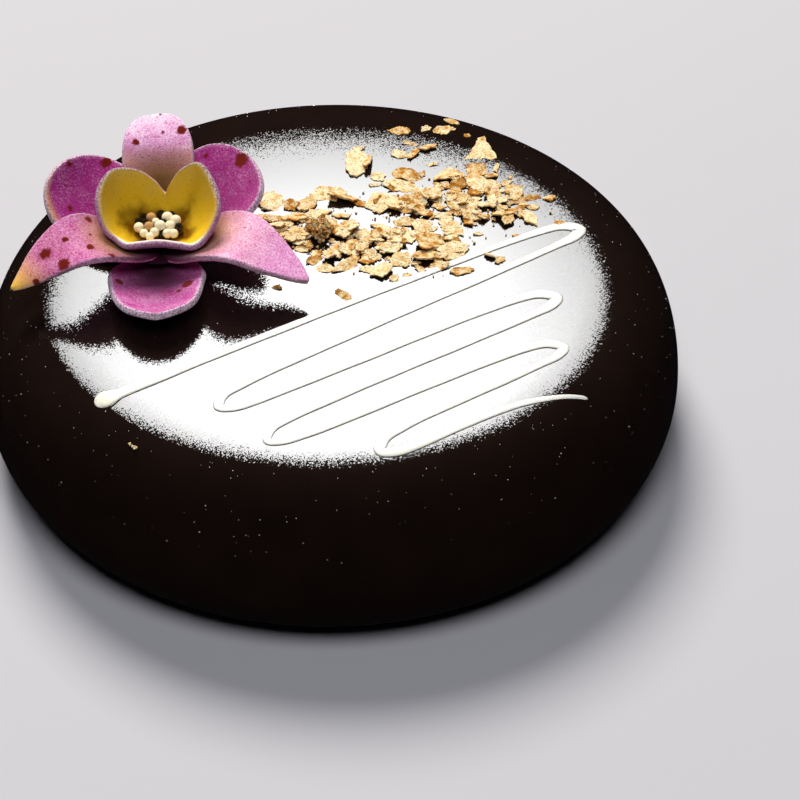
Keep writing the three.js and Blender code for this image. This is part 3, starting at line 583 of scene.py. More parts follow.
def lilac_paste(tree, pale, blush, throat, rim, spot):
    """Sugar paste rolled, cut and airbrushed: matt lilac with a sugary grain, pale rims, an orange
    blush near the cup, brushed spots of dark red, and painted shade near the hub under the cup."""
    place = add(tree, "ShaderNodeTexCoord").outputs["Object"]
    # Sugar grain of about 0.5 mm, brush mottle of about 4 mm, ragged spot edges of about 1.2 mm
    grain, mottle, ragged = [
        add(tree, "ShaderNodeTexNoise", {"Vector": place, "Scale": 1 / (size * MM), "Detail": detail})
        for size, detail in ((0.5, 2.0), (4, 3.0), (1.2, 3.0))]
    # How deep the lilac is, and where it is thin enough for the white paste to show
    fine = add(tree, "ShaderNodeMapRange", {0: grain, 1: 0.3, 2: 0.7, 3: -0.35, 4: 0.25})
    slow = add(tree, "ShaderNodeMapRange", {0: mottle, 1: 0.3, 2: 0.7, 3: -0.15, 4: 0.15})
    shade = add(tree, "ShaderNodeMath", {0: pale, 1: fine}, operation="ADD")
    depth = add(tree, "ShaderNodeMath", {0: shade, 1: slow}, operation="ADD")
    bare = add(tree, "ShaderNodeMapRange", {0: depth, 1: 0.9, 2: 1.5})
    # Dry sugar along the rim, pits in the grain and spots with torn edges
    worn = add(tree, "ShaderNodeMapRange", {0: grain, 1: 0.38, 2: 0.62})
    bloom = add(tree, "ShaderNodeMix", {0: worn, 6: "#9c8096", 7: "#e8d6e2"}, data_type="RGBA")
    pits = add(tree, "ShaderNodeMapRange", {0: grain, 1: 0.3, 2: 0.4, 3: 0.55, 4: 0.0})
    torn = add(tree, "ShaderNodeMapRange", {0: ragged, 1: 0.3, 2: 0.7, 3: -0.11, 4: 0.11})
    blot = add(tree, "ShaderNodeMath", {0: spot, 1: torn}, operation="ADD")
    mark = add(tree, "ShaderNodeMapRange", {0: blot, 1: 0.36, 2: 0.62}, interpolation_type="SMOOTHSTEP")
    inside = add(tree, "ShaderNodeMapRange", {0: spot, 1: 0.0, 2: 0.12})
    dot = add(tree, "ShaderNodeMath", {0: mark, 1: inside}, operation="MULTIPLY")
    # Lilac deepened, paled, blushed, darkened by painted shade near the hub, frosted, pitted and spotted
    colour = "#b23089"
    for share, over in ((depth, "#eeb2dc"), (bare, "#fdf0f9"), (blush, "#f0c038"), (throat, "#2c0d18"),
                        (rim, bloom), (pits, "#7a2560"), (dot, "#6c170a")):
        colour = add(tree, "ShaderNodeMix", {0: share, 6: colour, 7: over}, data_type="RGBA")
    bump = add(tree, "ShaderNodeBump", {"Strength": 0.5, "Distance": 0.15 * MM, "Height": grain})
    return add(tree, "ShaderNodeBsdfPrincipled", {
        "Base Color": colour, "Roughness": 0.68, "IOR": 1.45, "Normal": bump,
        "Sheen Weight": 0.15, "Sheen Roughness": 0.5})


def yellow_paste(tree, height, outside, rim, lip):
    """Sugar paste shaped over a form and airbrushed: warm yellow inside, cream at the lip and mauve
    outside; brown towards the floor, partly airbrushed and partly painted shade under the pearls."""
    place = add(tree, "ShaderNodeTexCoord").outputs["Object"]
    # Sugar grain of about 0.5 mm and brush mottle of about 5 mm
    grain, mottle = [
        add(tree, "ShaderNodeTexNoise", {"Vector": place, "Scale": 1 / (size * MM), "Detail": detail})
        for size, detail in ((0.5, 2.0), (5, 3.0))]
    slow = add(tree, "ShaderNodeMapRange", {0: mottle, 1: 0.3, 2: 0.7, 3: -0.12, 4: 0.12})
    level = add(tree, "ShaderNodeMath", {0: height, 1: slow}, operation="ADD")
    wall = add(tree, "ShaderNodeMapRange", {0: level, 1: 0.32, 2: 0.7}, interpolation_type="SMOOTHSTEP")
    top = add(tree, "ShaderNodeMapRange", {0: level, 1: 0.75, 2: 1.1, 4: 0.7})
    # Dry sugar along the rim and brown specks in the grain
    worn = add(tree, "ShaderNodeMapRange", {0: grain, 1: 0.38, 2: 0.62})
    bloom = add(tree, "ShaderNodeMix", {0: worn, 6: "#4a3a44", 7: "#b4a6a6"}, data_type="RGBA")
    speck = add(tree, "ShaderNodeMapRange", {0: grain, 1: 0.32, 2: 0.4, 3: 0.35, 4: 0.0})
    # Brown floor, partly painted shade under the pearls, then the yellow wall and the marks over it
    colour = "#643c06"
    for share, over in ((wall, "#e6bb26"), (top, "#dcbe5c"), (lip, "#f6efe2"), (outside, "#c06ab0"),
                        (rim, bloom), (speck, "#94671a")):
        colour = add(tree, "ShaderNodeMix", {0: share, 6: colour, 7: over}, data_type="RGBA")
    bump = add(tree, "ShaderNodeBump", {"Strength": 0.45, "Distance": 0.15 * MM, "Height": grain})
    return add(tree, "ShaderNodeBsdfPrincipled", {
        "Base Color": colour, "Roughness": 0.62, "IOR": 1.45, "Normal": bump})


def sugar_pearl(tree, tone):
    """Pressed sugar pearls: cream, some tan, satin with a fine chalky grain; the dark beads among them
    are partly dark pearls and partly painted shade in the gaps.
    """
    place = add(tree, "ShaderNodeTexCoord").outputs["Object"]
    # Chalky grain of about 0.6 mm; tones up to 1 turn the cream to tan and those past it to near
    # black, partly painted shade in the gaps
    chalk = add(tree, "ShaderNodeTexNoise", {"Vector": place, "Scale": 1 / (0.6 * MM), "Detail": 3.0})
    black = add(tree, "ShaderNodeMapRange", {0: tone, 1: 1.0, 2: 2.0})
    colour = "#e6d6a8"
    for share, over in ((chalk, "#fbf3dc"), (tone, "#c2935e"), (black, "#1d1710")):
        colour = add(tree, "ShaderNodeMix", {0: share, 6: colour, 7: over}, data_type="RGBA")
    return add(tree, "ShaderNodeBsdfPrincipled", {"Base Color": colour, "Roughness": 0.4, "IOR": 1.5})


def studio_floor(tree):
    """Matt laminate sheet: plain pale grey, so that only shadows show on it."""
    return add(tree, "ShaderNodeBsdfPrincipled", {"Base Color": "#bcbcc0", "Roughness": 0.5})


# Cake

def cake_top(radius):
    """Level of the cake's upper surface at a distance from its axis."""
    radius = np.asarray(radius, float)
    out = np.clip((radius - CAKE_FLAT_RADIUS) / CAKE_SHOULDER, 0, 1)
    easing = CAKE_EASING_RATE / 2 * np.maximum(radius - CAKE_EASING_START, 0) ** 2
    easing = easing * (1 - smooth(CAKE_FLAT_RADIUS, CAKE_RADIUS, radius))
    return CAKE_WIDEST_LEVEL + (CAKE_HEIGHT - CAKE_WIDEST_LEVEL) * np.sqrt(1 - out ** 2) - easing


def cake_body():
    """Cake turned about its axis; its top eases into the shoulder."""
    low = np.linspace(-math.pi / 2, 0, CAKE_ARC_STEPS, endpoint=False)
    under = [(CAKE_FLAT_RADIUS + CAKE_SHOULDER * math.cos(a), CAKE_WIDEST_LEVEL * (1 + math.sin(a)))
             for a in low]
    high = CAKE_FLAT_RADIUS + CAKE_SHOULDER * np.cos(np.linspace(0, math.pi / 2, CAKE_ARC_STEPS))
    inner = np.linspace(CAKE_FLAT_RADIUS, 0, CAKE_TOP_RINGS)[1:]
    over = [(r, float(cake_top(r))) for r in np.concatenate([high, inner])]
    return *turned([(0, 0)] + under + over, CAKE_SIDES), {}


# Drizzle

def hairpin(tip, outward):
    """Points of one hairpin: in along one side of the nose, round the tip and out along the other."""
    side = np.array([-DRIZZLE_RUN[1], DRIZZLE_RUN[0]])
    points = []
    for angle in HAIRPIN_ANGLES:
        back = DRIZZLE_NOSE * (1 - math.sin(math.radians(angle)))
        reach = DRIZZLE_ENTRY_OFFSET if angle < 90 else DRIZZLE_EXIT_OFFSET
        offset = reach * math.cos(math.radians(angle))
        points.append(np.array(tip) - outward * back * DRIZZLE_RUN + offset * side)
    return points


def drizzle_half_widths(line, start):
    """Half-width along the bead: swollen at the start and round the turns, thin at the tail."""
    from_start = np.linalg.norm(line - start, axis=1)
    to_end = np.linalg.norm(line - line[-1], axis=1)
    run = lengths_along(line)
    tail = np.clip(to_end / DRIZZLE_TAIL_LENGTH, 0, 1)
    body = DRIZZLE_HALF_WIDTH * (DRIZZLE_TAIL_SHARE + (1 - DRIZZLE_TAIL_SHARE) * tail)
    for tip, swell in zip(DRIZZLE_TURNS, DRIZZLE_TURN_SWELL):
        to_turn = np.linalg.norm(line - np.array(tip), axis=1)
        body = body * (1 + swell * np.exp(-(to_turn / DRIZZLE_TURN_REACH) ** 2))
    neck = np.exp(-(from_start / DRIZZLE_NECK_LENGTH) ** 2)
    half = body + (DRIZZLE_NECK_HALF_WIDTH - body) * neck
    half = half * (1 + sum(share * np.sin(run / wave + phase) for share, wave, phase in DRIZZLE_WAVES))
    half[-DRIZZLE_TIP_STEPS:] *= np.sqrt(np.linspace(1, DRIZZLE_TIP_SHARE, DRIZZLE_TIP_STEPS))
    # The blob at the start: round behind its middle, drawn out ahead of it
    behind = run < DRIZZLE_BLOB_RADIUS
    offset = (run - DRIZZLE_BLOB_RADIUS) / np.where(behind, DRIZZLE_BLOB_RADIUS, DRIZZLE_BLOB_LENGTH)
    blob = DRIZZLE_BLOB_RADIUS * np.sqrt(np.clip(1 - offset ** 2, 0, 1))
    joined = (half ** DRIZZLE_BLOB_BLEND + blob ** DRIZZLE_BLOB_BLEND) ** (1 / DRIZZLE_BLOB_BLEND)
    return np.where(behind, np.maximum(blob, DRIZZLE_LEAST_HALF_WIDTH), joined)


def drizzle_bead():
    """Bead laid to and fro over the top, drawn in where it meets the glaze."""
    start = np.array(DRIZZLE_START)
    route = [start - DRIZZLE_BLOB_RADIUS * DRIZZLE_RUN, start]
    for k, tip in enumerate(DRIZZLE_TURNS):
        route += hairpin(tip, 1 if k % 2 == 0 else -1)
    route += [np.array(p) for p in DRIZZLE_TAIL]
    line = spline(route, DRIZZLE_SPAN_STEPS)
    ahead = unit(np.gradient(line, axis=0))
    sides = np.column_stack([-ahead[:, 1], ahead[:, 0]])
    angles = np.linspace(0, 2 * math.pi, DRIZZLE_SECTION_STEPS, endpoint=False)
    across, high = np.cos(angles), np.sin(angles)
    # The two points at the edge count as upper ones
    over = high > -0.01
    rings = []
    for at, side, half in zip(line, sides, drizzle_half_widths(line, start)):
        lip = min(DRIZZLE_LIP, DRIZZLE_LIP_SHARE * half)
        flat = at + np.outer(across * np.where(over, half, half - DRIZZLE_UNDERCUT * lip), side)
        crown = DRIZZLE_RISE * half * (1 + smooth(*DRIZZLE_FULL_HALF_WIDTHS, half))
        height = np.where(over, lip + crown * np.abs(high) ** DRIZZLE_CROWN_POWER, DRIZZLE_SINK * high)
        rings.append(np.column_stack([flat, cake_top(np.linalg.norm(flat, axis=1)) + height]))
    return *capped(rings, rings[0].mean(0), rings[-1].mean(0)), {}


# Wafer flakes

def flake_outline(rng, half_length, slender):
    """Corners of an angular flake about the origin, long along X."""
    corners = rng.integers(*FLAKE_CORNERS)
    shift = rng.uniform(-FLAKE_CORNER_SHIFT, FLAKE_CORNER_SHIFT, corners)
    turn = (np.arange(corners) + shift) / corners * 2 * math.pi
    reach = half_length * rng.uniform(*FLAKE_REACH, corners)
    return np.column_stack([np.cos(turn) * reach, np.sin(turn) * reach * slender])


def shard(rng, corners):
    """One flake with rough broken edges and a blistered, slightly curled sheet."""
    count = len(corners) * FLAKE_EDGE_STEPS
    step = (np.arange(FLAKE_EDGE_STEPS) / FLAKE_EDGE_STEPS)[:, None]
    rim = np.concatenate([a + (b - a) * step for a, b in zip(corners, np.roll(corners, -1, 0))])
    size = np.linalg.norm(rim, axis=1).max()
    rim = rim * (1 + rng.normal(0, FLAKE_EDGE_NOISE[0], count))[:, None]
    rim = rim + rng.normal(0, FLAKE_EDGE_NOISE[1], (count, 2))
    half = rng.uniform(*FLAKE_THICKNESS) / 2 * min(1.0, FLAKE_THINNEST + size / FLAKE_THICK_SIZE)
    curl = rng.normal(0, FLAKE_CURL) / size
    bearing = rng.uniform(0, math.pi)
    phases = rng.uniform(0, 2 * math.pi, 4).reshape(2, 2)

    def relief(flat):
        level = curl * (flat @ np.array([math.cos(bearing), math.sin(bearing)])) ** 2
        for (height, *rates), phase in zip(FLAKE_RELIEF, phases):
            level = level + height * np.sin(flat * rates + phase).prod(axis=1)
        return level

    rings, edges = [], []
    for share, side, edge in FLAKE_RINGS:
        flat = rim * share
        rough = rng.normal(0, FLAKE_FACE_NOISE, count)
        rings.append(np.column_stack([flat, relief(flat) + side * half + rough]))
        edges.append(np.full(count, edge))
    middle = float(relief(np.zeros((1, 2)))[0])
    points, faces = capped(rings, (0, 0, middle - half), (0, 0, middle + half))
    return points, faces, np.concatenate(edges + [[0.0, 0.0]])


def tilted(points, about_x, about_y, bearing):
    """Points turned about X, then Y, then Z, in degrees."""
    spin = Matrix.Rotation(math.radians(bearing), 3, "Z") @ Matrix.Rotation(math.radians(about_y), 3, "Y")
    return points @ np.array(spin @ Matrix.Rotation(math.radians(about_x), 3, "X")).T


class Heap:
    """Level of what already lies on the cake, on a square map, so that each flake rests on the last."""

    def __init__(self):
        x, y = [start + FLAKE_MAP_STEP * np.arange(size)
                for start, size in zip(FLAKE_MAP_ORIGIN, FLAKE_MAP_SIZE)]
        self.level = cake_top(np.hypot(*np.meshgrid(x, y, indexing="ij")))

    def cell(self, points):
        cells = np.round((points[:, :2] - FLAKE_MAP_ORIGIN) / FLAKE_MAP_STEP).astype(int)
        return tuple(np.clip(cells, 0, np.array(FLAKE_MAP_SIZE) - 1).T)

    def lay(self, points, at, contact):
        """Points moved over a place and let down until a share of them has met the heap."""
        moved = points + np.array([*at, 0.0])
        moved[:, 2] += np.quantile(self.level[self.cell(moved)] - moved[:, 2], 1 - contact)
        for share in np.linspace(0, 1, FLAKE_MAP_RINGS):
            inner = moved.mean(0) + (moved - moved.mean(0)) * share
            np.maximum.at(self.level, self.cell(inner), inner[:, 2])
        return moved


def in_patch(patch, along, across):
    """Place in an oval patch, from shares of its half-sizes."""
    (x, y), (length, width), bearing, _ = patch
    c, s = math.cos(math.radians(bearing)), math.sin(math.radians(bearing))
    u, v = length * along, width * across
    return x + u * c - v * s, y + u * s + v * c


def scatter(rng, patch):
    """A random place in an oval patch."""
    away, around = math.sqrt(rng.uniform()), rng.uniform(0, 2 * math.pi)
    return in_patch(patch, away * math.cos(around), away * math.sin(around))


def wafer_flakes():
    """Small flakes first, the large ones over them, the porous clump, and a few small ones on top."""
    rng = np.random.default_rng(FLAKE_SEED)
    heap = Heap()
    shapes = []

    def drop(at, corners, turn, toast, contact=FLAKE_CONTACT):
        points, faces, edge = shard(rng, corners)
        laid = heap.lay(tilted(points, *turn), at, contact)
        shapes.append((laid, faces, {"edge": edge, "toast": np.full(len(laid), toast)}))

    def sprinkle(share):
        for patch in SMALL_FLAKE_PATCHES:
            for _ in range(round(patch[3] * share)):
                half_length = rng.uniform(*SMALL_FLAKE_HALF_LENGTH)
                corners = flake_outline(rng, half_length, rng.uniform(*SMALL_FLAKE_SLENDER))
                turn = (*rng.normal(0, SMALL_FLAKE_LEAN, 2), rng.uniform(0, 360))
                at = scatter(rng, patch)
                toast = np.clip(rng.normal(*SMALL_FLAKE_TOAST), 0, SMALL_FLAKE_MOST_TOAST)
                drop(at, corners, turn, toast)

    middle = np.mean(TRIANGLE_FLAKE, axis=0)
    drop(middle, np.array(TRIANGLE_FLAKE) - middle, TRIANGLE_FLAKE_TURN, TRIANGLE_FLAKE_TOAST)
    sprinkle(1 - SMALL_FLAKE_LATE_SHARE)
    for x, y, half_length, slender, bearing, lean, toast in FLAKES:
        corners = flake_outline(rng, FLAKE_GROWTH * half_length, slender)
        side_lean = rng.normal(0, FLAKE_SIDE_LEAN * abs(lean))
        lean = lean * rng.choice([-1, 1], p=FLAKE_LEAN_ODDS)
        drop((x, y), corners, (lean, side_lean, bearing), toast)
    for _ in range(FLAKE_CLUMP[3]):
        at = scatter(rng, FLAKE_CLUMP)
        turn = (*rng.uniform(-CLUMP_LEAN, CLUMP_LEAN, 2), rng.uniform(0, 360))
        corners = flake_outline(rng, rng.uniform(*CLUMP_HALF_LENGTH), CLUMP_SLENDER)
        drop(at, corners, turn, rng.uniform(*CLUMP_TOAST), CLUMP_CONTACT)
    sprinkle(SMALL_FLAKE_LATE_SHARE)
    return merged(shapes)


def grains(rng, places, radii):
    """Small irregular eight-sided grains at places, as one shape."""
    corners = np.array([(1, 0, 0), (0, 1, 0), (-1, 0, 0), (0, -1, 0), (0, 0, 1), (0, 0, -1)], float)
    faces = [(0, 1, 4), (1, 2, 4), (2, 3, 4), (3, 0, 4), (1, 0, 5), (2, 1, 5), (3, 2, 5), (0, 3, 5)]
    shapes = []
    for place, radius in zip(places, radii):
        spin = Matrix.Rotation(rng.uniform(0, math.pi), 3, Vector(rng.normal(0, 1, 3)))
        form = corners * rng.uniform(*GRAIN_REACH, (len(corners), 1)) * radius
        shapes.append((form @ np.array(spin).T + place, faces, {}))
    return merged(shapes)


def wafer_crumbs():
    """Crumbs among and round the flakes."""
    rng = np.random.default_rng(FLAKE_SEED + 1)
    radii = rng.uniform(*CRUMB_RADIUS, CRUMB_COUNT) * rng.uniform(*CRUMB_SHRINK, CRUMB_COUNT)
    places = []
    for k, radius in enumerate(radii):
        patch = SMALL_FLAKE_PATCHES[k % len(SMALL_FLAKE_PATCHES)]
        at = in_patch(patch, *rng.normal(0, CRUMB_SPREAD))
        places.append((*at, cake_top(math.hypot(*at)) + CRUMB_LIFT * radius))
    for x, y, radius in STRAY_CRUMBS:
        places.append((x, y, cake_top(math.hypot(x, y)) + STRAY_CRUMB_LIFT * radius))
    radii = np.append(radii, [radius for _, _, radius in STRAY_CRUMBS])
    points, faces, _ = grains(rng, places, radii)
    toast = np.repeat(rng.uniform(*CRUMB_TOAST, len(radii)), len(points) // len(radii))
    return points, faces, {"toast": toast, "edge": np.zeros(len(points))}


def glaze_dust():
    """Grains of sugar on the glaze, most of them on the upper shoulder."""
    rng = np.random.default_rng(DUST_SEED)
    radii = DUST_RADIUS[0] + (DUST_RADIUS[1] - DUST_RADIUS[0]) * rng.uniform(0, 1, DUST_COUNT) ** 2
    places = []
    for k in range(DUST_COUNT):
        around = rng.uniform(0, 2 * math.pi)
        lean = math.radians(rng.uniform(0, DUST_LOWEST_LEAN))
        if k % DUST_ON_TOP_EVERY == 0:
            radius = CAKE_FLAT_RADIUS * math.sqrt(rng.uniform())
        else:
            radius = CAKE_FLAT_RADIUS + CAKE_SHOULDER * math.sin(lean)
        places.append((radius * math.cos(around), radius * math.sin(around), float(cake_top(radius))))
    return grains(rng, places, radii)


# Flower

def lobe_half_width(lobe, s):
    widest, roundness = lobe["widest"], lobe["roundness"]
    growing = lobe["base"] + (1 - lobe["base"]) * np.sin(math.pi / 2 * np.minimum(s / widest, 1))
    past = np.clip((s - widest) / (1 - widest), 0, 1)
    closing = (1 - past ** roundness) ** (1 / roundness)
    return lobe["width"] / 2 * np.where(s < widest, growing, closing)


def angle_at(lobe, name, s):
    return np.radians(keyed(lobe[name], s))


def spine_direction(lobe, s):
    bearing, rise = angle_at(lobe, "bearing", s), angle_at(lobe, "rise", s)
    return np.stack([np.cos(bearing) * np.cos(rise), np.sin(bearing) * np.cos(rise), np.sin(rise)], -1)


def lobe_surface(lobe, level, length_along, across):
    """Middle surface of a lobe and its normal, at mm along its spine and mm across it."""
    s = np.clip(length_along / lobe["length"], 0, 1)
    steps = (np.arange(SPINE_STEPS) + 0.5) / SPINE_STEPS
    start = math.radians(lobe["bearing"][0])
    hub = np.array([HUB_RADIUS * math.cos(start), HUB_RADIUS * math.sin(start), level])
    moves = np.cumsum(spine_direction(lobe, steps), axis=0) * lobe["length"] / SPINE_STEPS
    path = hub + np.concatenate([np.zeros((1, 3)), moves])
    middle = np.stack([keyed(path[:, k], s) for k in range(3)], -1)
    bearing, roll = angle_at(lobe, "bearing", s), angle_at(lobe, "roll", s)
    ahead = spine_direction(lobe, s)
    flat = np.stack([-np.sin(bearing), np.cos(bearing), np.zeros_like(s)], -1)
    lift = np.cross(ahead, flat)
    c, w = np.cos(roll)[..., None], np.sin(roll)[..., None]
    side, up = c * flat + w * lift, c * lift - w * flat
    half = np.maximum(lobe_half_width(lobe, s), TINY)
    cupping = angle_at(lobe, "cupping", s)
    cupping = np.where(np.abs(cupping) < TINY, TINY, cupping)
    angle = cupping * np.clip(across / half, -1, 1)
    point = middle + side * (half * np.sin(angle) / cupping)[..., None]
    point = point + up * (half * (1 - np.cos(angle)) / cupping)[..., None]
    normal = up * np.cos(angle)[..., None] - side * np.sin(angle)[..., None]
    return point, normal


def lobe_outline(lobe):
    """Outline of a flat lobe as points at even steps, with the directions to its inside."""
    # Closer steps towards the tip
    s = 1 - (1 - np.linspace(0, 1, LOBE_OUTLINE_STEPS)) ** 2
    half = lobe_half_width(lobe, s)
    right = np.column_stack([s * lobe["length"], -half])
    loop = np.concatenate([right, right[::-1] * (1, -1), right[:1]])
    run = lengths_along(loop)
    marks = np.linspace(0, run[-1], LOBE_SIDES, endpoint=False)
    points = np.column_stack([np.interp(marks, run, loop[:, k]) for k in range(2)])
    step = unit(np.roll(points, -1, 0) - np.roll(points, 1, 0))
    return points, np.column_stack([-step[:, 1], step[:, 0]])


def lobe_colours(lobe, along, across, upper, depth):
    """What the paste reads from place to place; the underside is plain."""
    share = along / lobe["length"]
    beside = across / np.maximum(lobe_half_width(lobe, np.clip(share, 0, 1)), TINY)
    spot = np.zeros(len(along))
    for at, over, size, colour in lobe["spots"]:
        off = across - over * lobe_half_width(lobe, np.array(at))
        away = np.hypot(along - at * lobe["length"], off) / size
        # Half as strong at its radius as in its middle
        strength = SPOT_LEAST + (1 - SPOT_LEAST) * colour
        spot = np.maximum(spot, np.clip(1 - 0.5 * away, 0, 1) * strength)
    off_middle = np.clip(beside, -1, 1) ** 2
    # Painted shade near the hub, where the cup and lip shade the lobe; less of it at the sides
    throat = keyed(lobe["throat"], share) * (1 - (1 - lobe["painted_shade_edge"]) * off_middle)
    blush = keyed(lobe["blush"], share)
    blush = blush * (1 - BLUSH_SIDE_FADE * off_middle * (share < BLUSH_SIDE_FADE_END))
    edge_blush = smooth(*EDGE_BLUSH_ACROSS, beside) * smooth(*EDGE_BLUSH_ALONG, share)
    blush = BLUSH_STRENGTH * np.maximum(blush, lobe.get("edge_blush", 0.0) * edge_blush)
    bloom = np.exp(-np.maximum(depth - RIM_BLOOM_FULL, 0) / RIM_BLOOM_FADE)
    return {
        "pale": np.where(upper, keyed(lobe["pale"], share), UNDERSIDE_PALE),
        "throat": np.where(upper, throat, 0.0),
        "blush": np.where(upper, blush, 0.0),
        # The dry bloom is left off near the hub: painted shade under the lip
        "rim": bloom * lobe["frost"] * smooth(*RIM_BLOOM_ALONG, share),
        "spot": np.where(upper, spot, 0.0),
    }


def lobe_shape(lobe, level):
    """Lobe as a sheet with rolled edges."""
    radius = SHEET_THICKNESS / 2
    outline, inward = lobe_outline(lobe)
    inward = inward * np.clip(np.abs(outline[:, 1]) / SHEET_THICKNESS, LOBE_LEAST_INSET, 1)[:, None]
    centre = np.array([LOBE_MIDDLE * lobe["length"], 0.0])
    inner = outline + inward * LOBE_CORNER
    reach = np.linalg.norm(inner - centre, axis=1)
    # Rows from the middle to the rim: places, height over the middle surface, depth behind the rim
    rows = [(centre + (inner - centre) * f, radius, reach * (1 - f) + LOBE_CORNER)
            for f in np.linspace(0, 1, LOBE_RINGS + 1)[1:]]
    for beta in np.linspace(math.pi / 2, 0, RIM_STEPS // 2 + 1)[1:]:
        depth = LOBE_CORNER * (1 - math.cos(beta))
        height = radius - LOBE_CORNER * (1 - math.sin(beta))
        rows.append((outline + inward * depth, height, np.full(LOBE_SIDES, depth)))
    rows.append((outline, 0.0, np.zeros(LOBE_SIDES)))
    rows = [(p, -h, d) for p, h, d in rows[:-1]] + rows[::-1]
    place = np.concatenate([p for p, _, _ in rows] + [centre[None], centre[None]])
    lift = np.concatenate([np.full(LOBE_SIDES, h) for _, h, _ in rows] + [[-radius], [radius]])
    depth = np.concatenate([d for _, _, d in rows] + [[LOBE_DEEP, LOBE_DEEP]])
    along, across = place.T
    point, normal = lobe_surface(lobe, level, along, across)
    a, b, c, d = LOBE_WAVE_LENGTHS
    wave = LOBE_WAVE * np.sin(along / a + across / b) * np.sin(across / c - along / d + 1)
    rough = np.random.default_rng(LOBE_SEED).normal(0, LOBE_ROUGHNESS, len(along))
    lift_off = lift + wave + rough * np.exp(-depth / LOBE_ROUGH_REACH)
    point = point + normal * lift_off[:, None]
    shape = capped(point[:-2].reshape(-1, LOBE_SIDES, 3), point[-2], point[-1])
    return *shape, lobe_colours(lobe, along, across, lift >= 0, depth)


def plain_shape(profile, stretch=1.0, shift=0.0):
    """Body turned about the flower's axis, dark all over with painted shade, like the lobes at the hub."""
    points, faces = turned(profile, HUB_SIDES)
    zero = np.zeros(len(points))
    marks = {"pale": zero, "blush": zero, "throat": zero + 1, "rim": zero, "spot": zero}
    return points * (stretch, 1, 1) + (0, shift, 0), faces, marks


def petal_sheet():
    return merged([lobe_shape(lobe, PETAL_LEVEL) for lobe in PETALS] + [plain_shape(PETAL_FOOT)])


def sepal_sheet():
    half = SHEET_THICKNESS / 2
    rim = [(SEPAL_HUB_RADIUS + half * math.cos(a), SEPAL_LEVEL + half * math.sin(a))
           for a in np.linspace(-math.pi / 2, math.pi / 2, RIM_STEPS + 1)]
    disc = [(0, SEPAL_LEVEL - half)] + rim + [(0, SEPAL_LEVEL + half)]
    top = CUP_FLOOR_LEVEL - CUP_THICKNESS / 2 - SEPAL_BOSS_GAP
    boss = [(0, SEPAL_LEVEL), (SEPAL_BOSS_RADIUS, SEPAL_LEVEL), (SEPAL_BOSS_RADIUS, top), (0, top)]
    lobes = [lobe_shape(lobe, SEPAL_LEVEL) for lobe in SEPALS]
    return merged(lobes + [plain_shape(disc, SEPAL_HUB_STRETCH, SEPAL_HUB_SHIFT), plain_shape(boss)])


def cup_point(rim, v):
    """Middle surface of the cup at share v from its floor's middle to each point of its rim."""
    reach = np.linalg.norm(rim[:, :2], axis=1)
    w = max((v - CUP_FLOOR_SHARE) / (1 - CUP_FLOOR_SHARE), 0)
    wall = (1 - w) ** 2 * CUP_FLOOR_RADIUS + 2 * w * (1 - w) * CUP_BULGE * reach + w * w * reach
    radius = CUP_FLOOR_RADIUS * v / CUP_FLOOR_SHARE if v < CUP_FLOOR_SHARE else wall
    height = CUP_FLOOR_LEVEL + (rim[:, 2] - CUP_FLOOR_LEVEL) * w * w
    return np.column_stack([rim[:, 0] / reach * radius, rim[:, 1] / reach * radius, height])


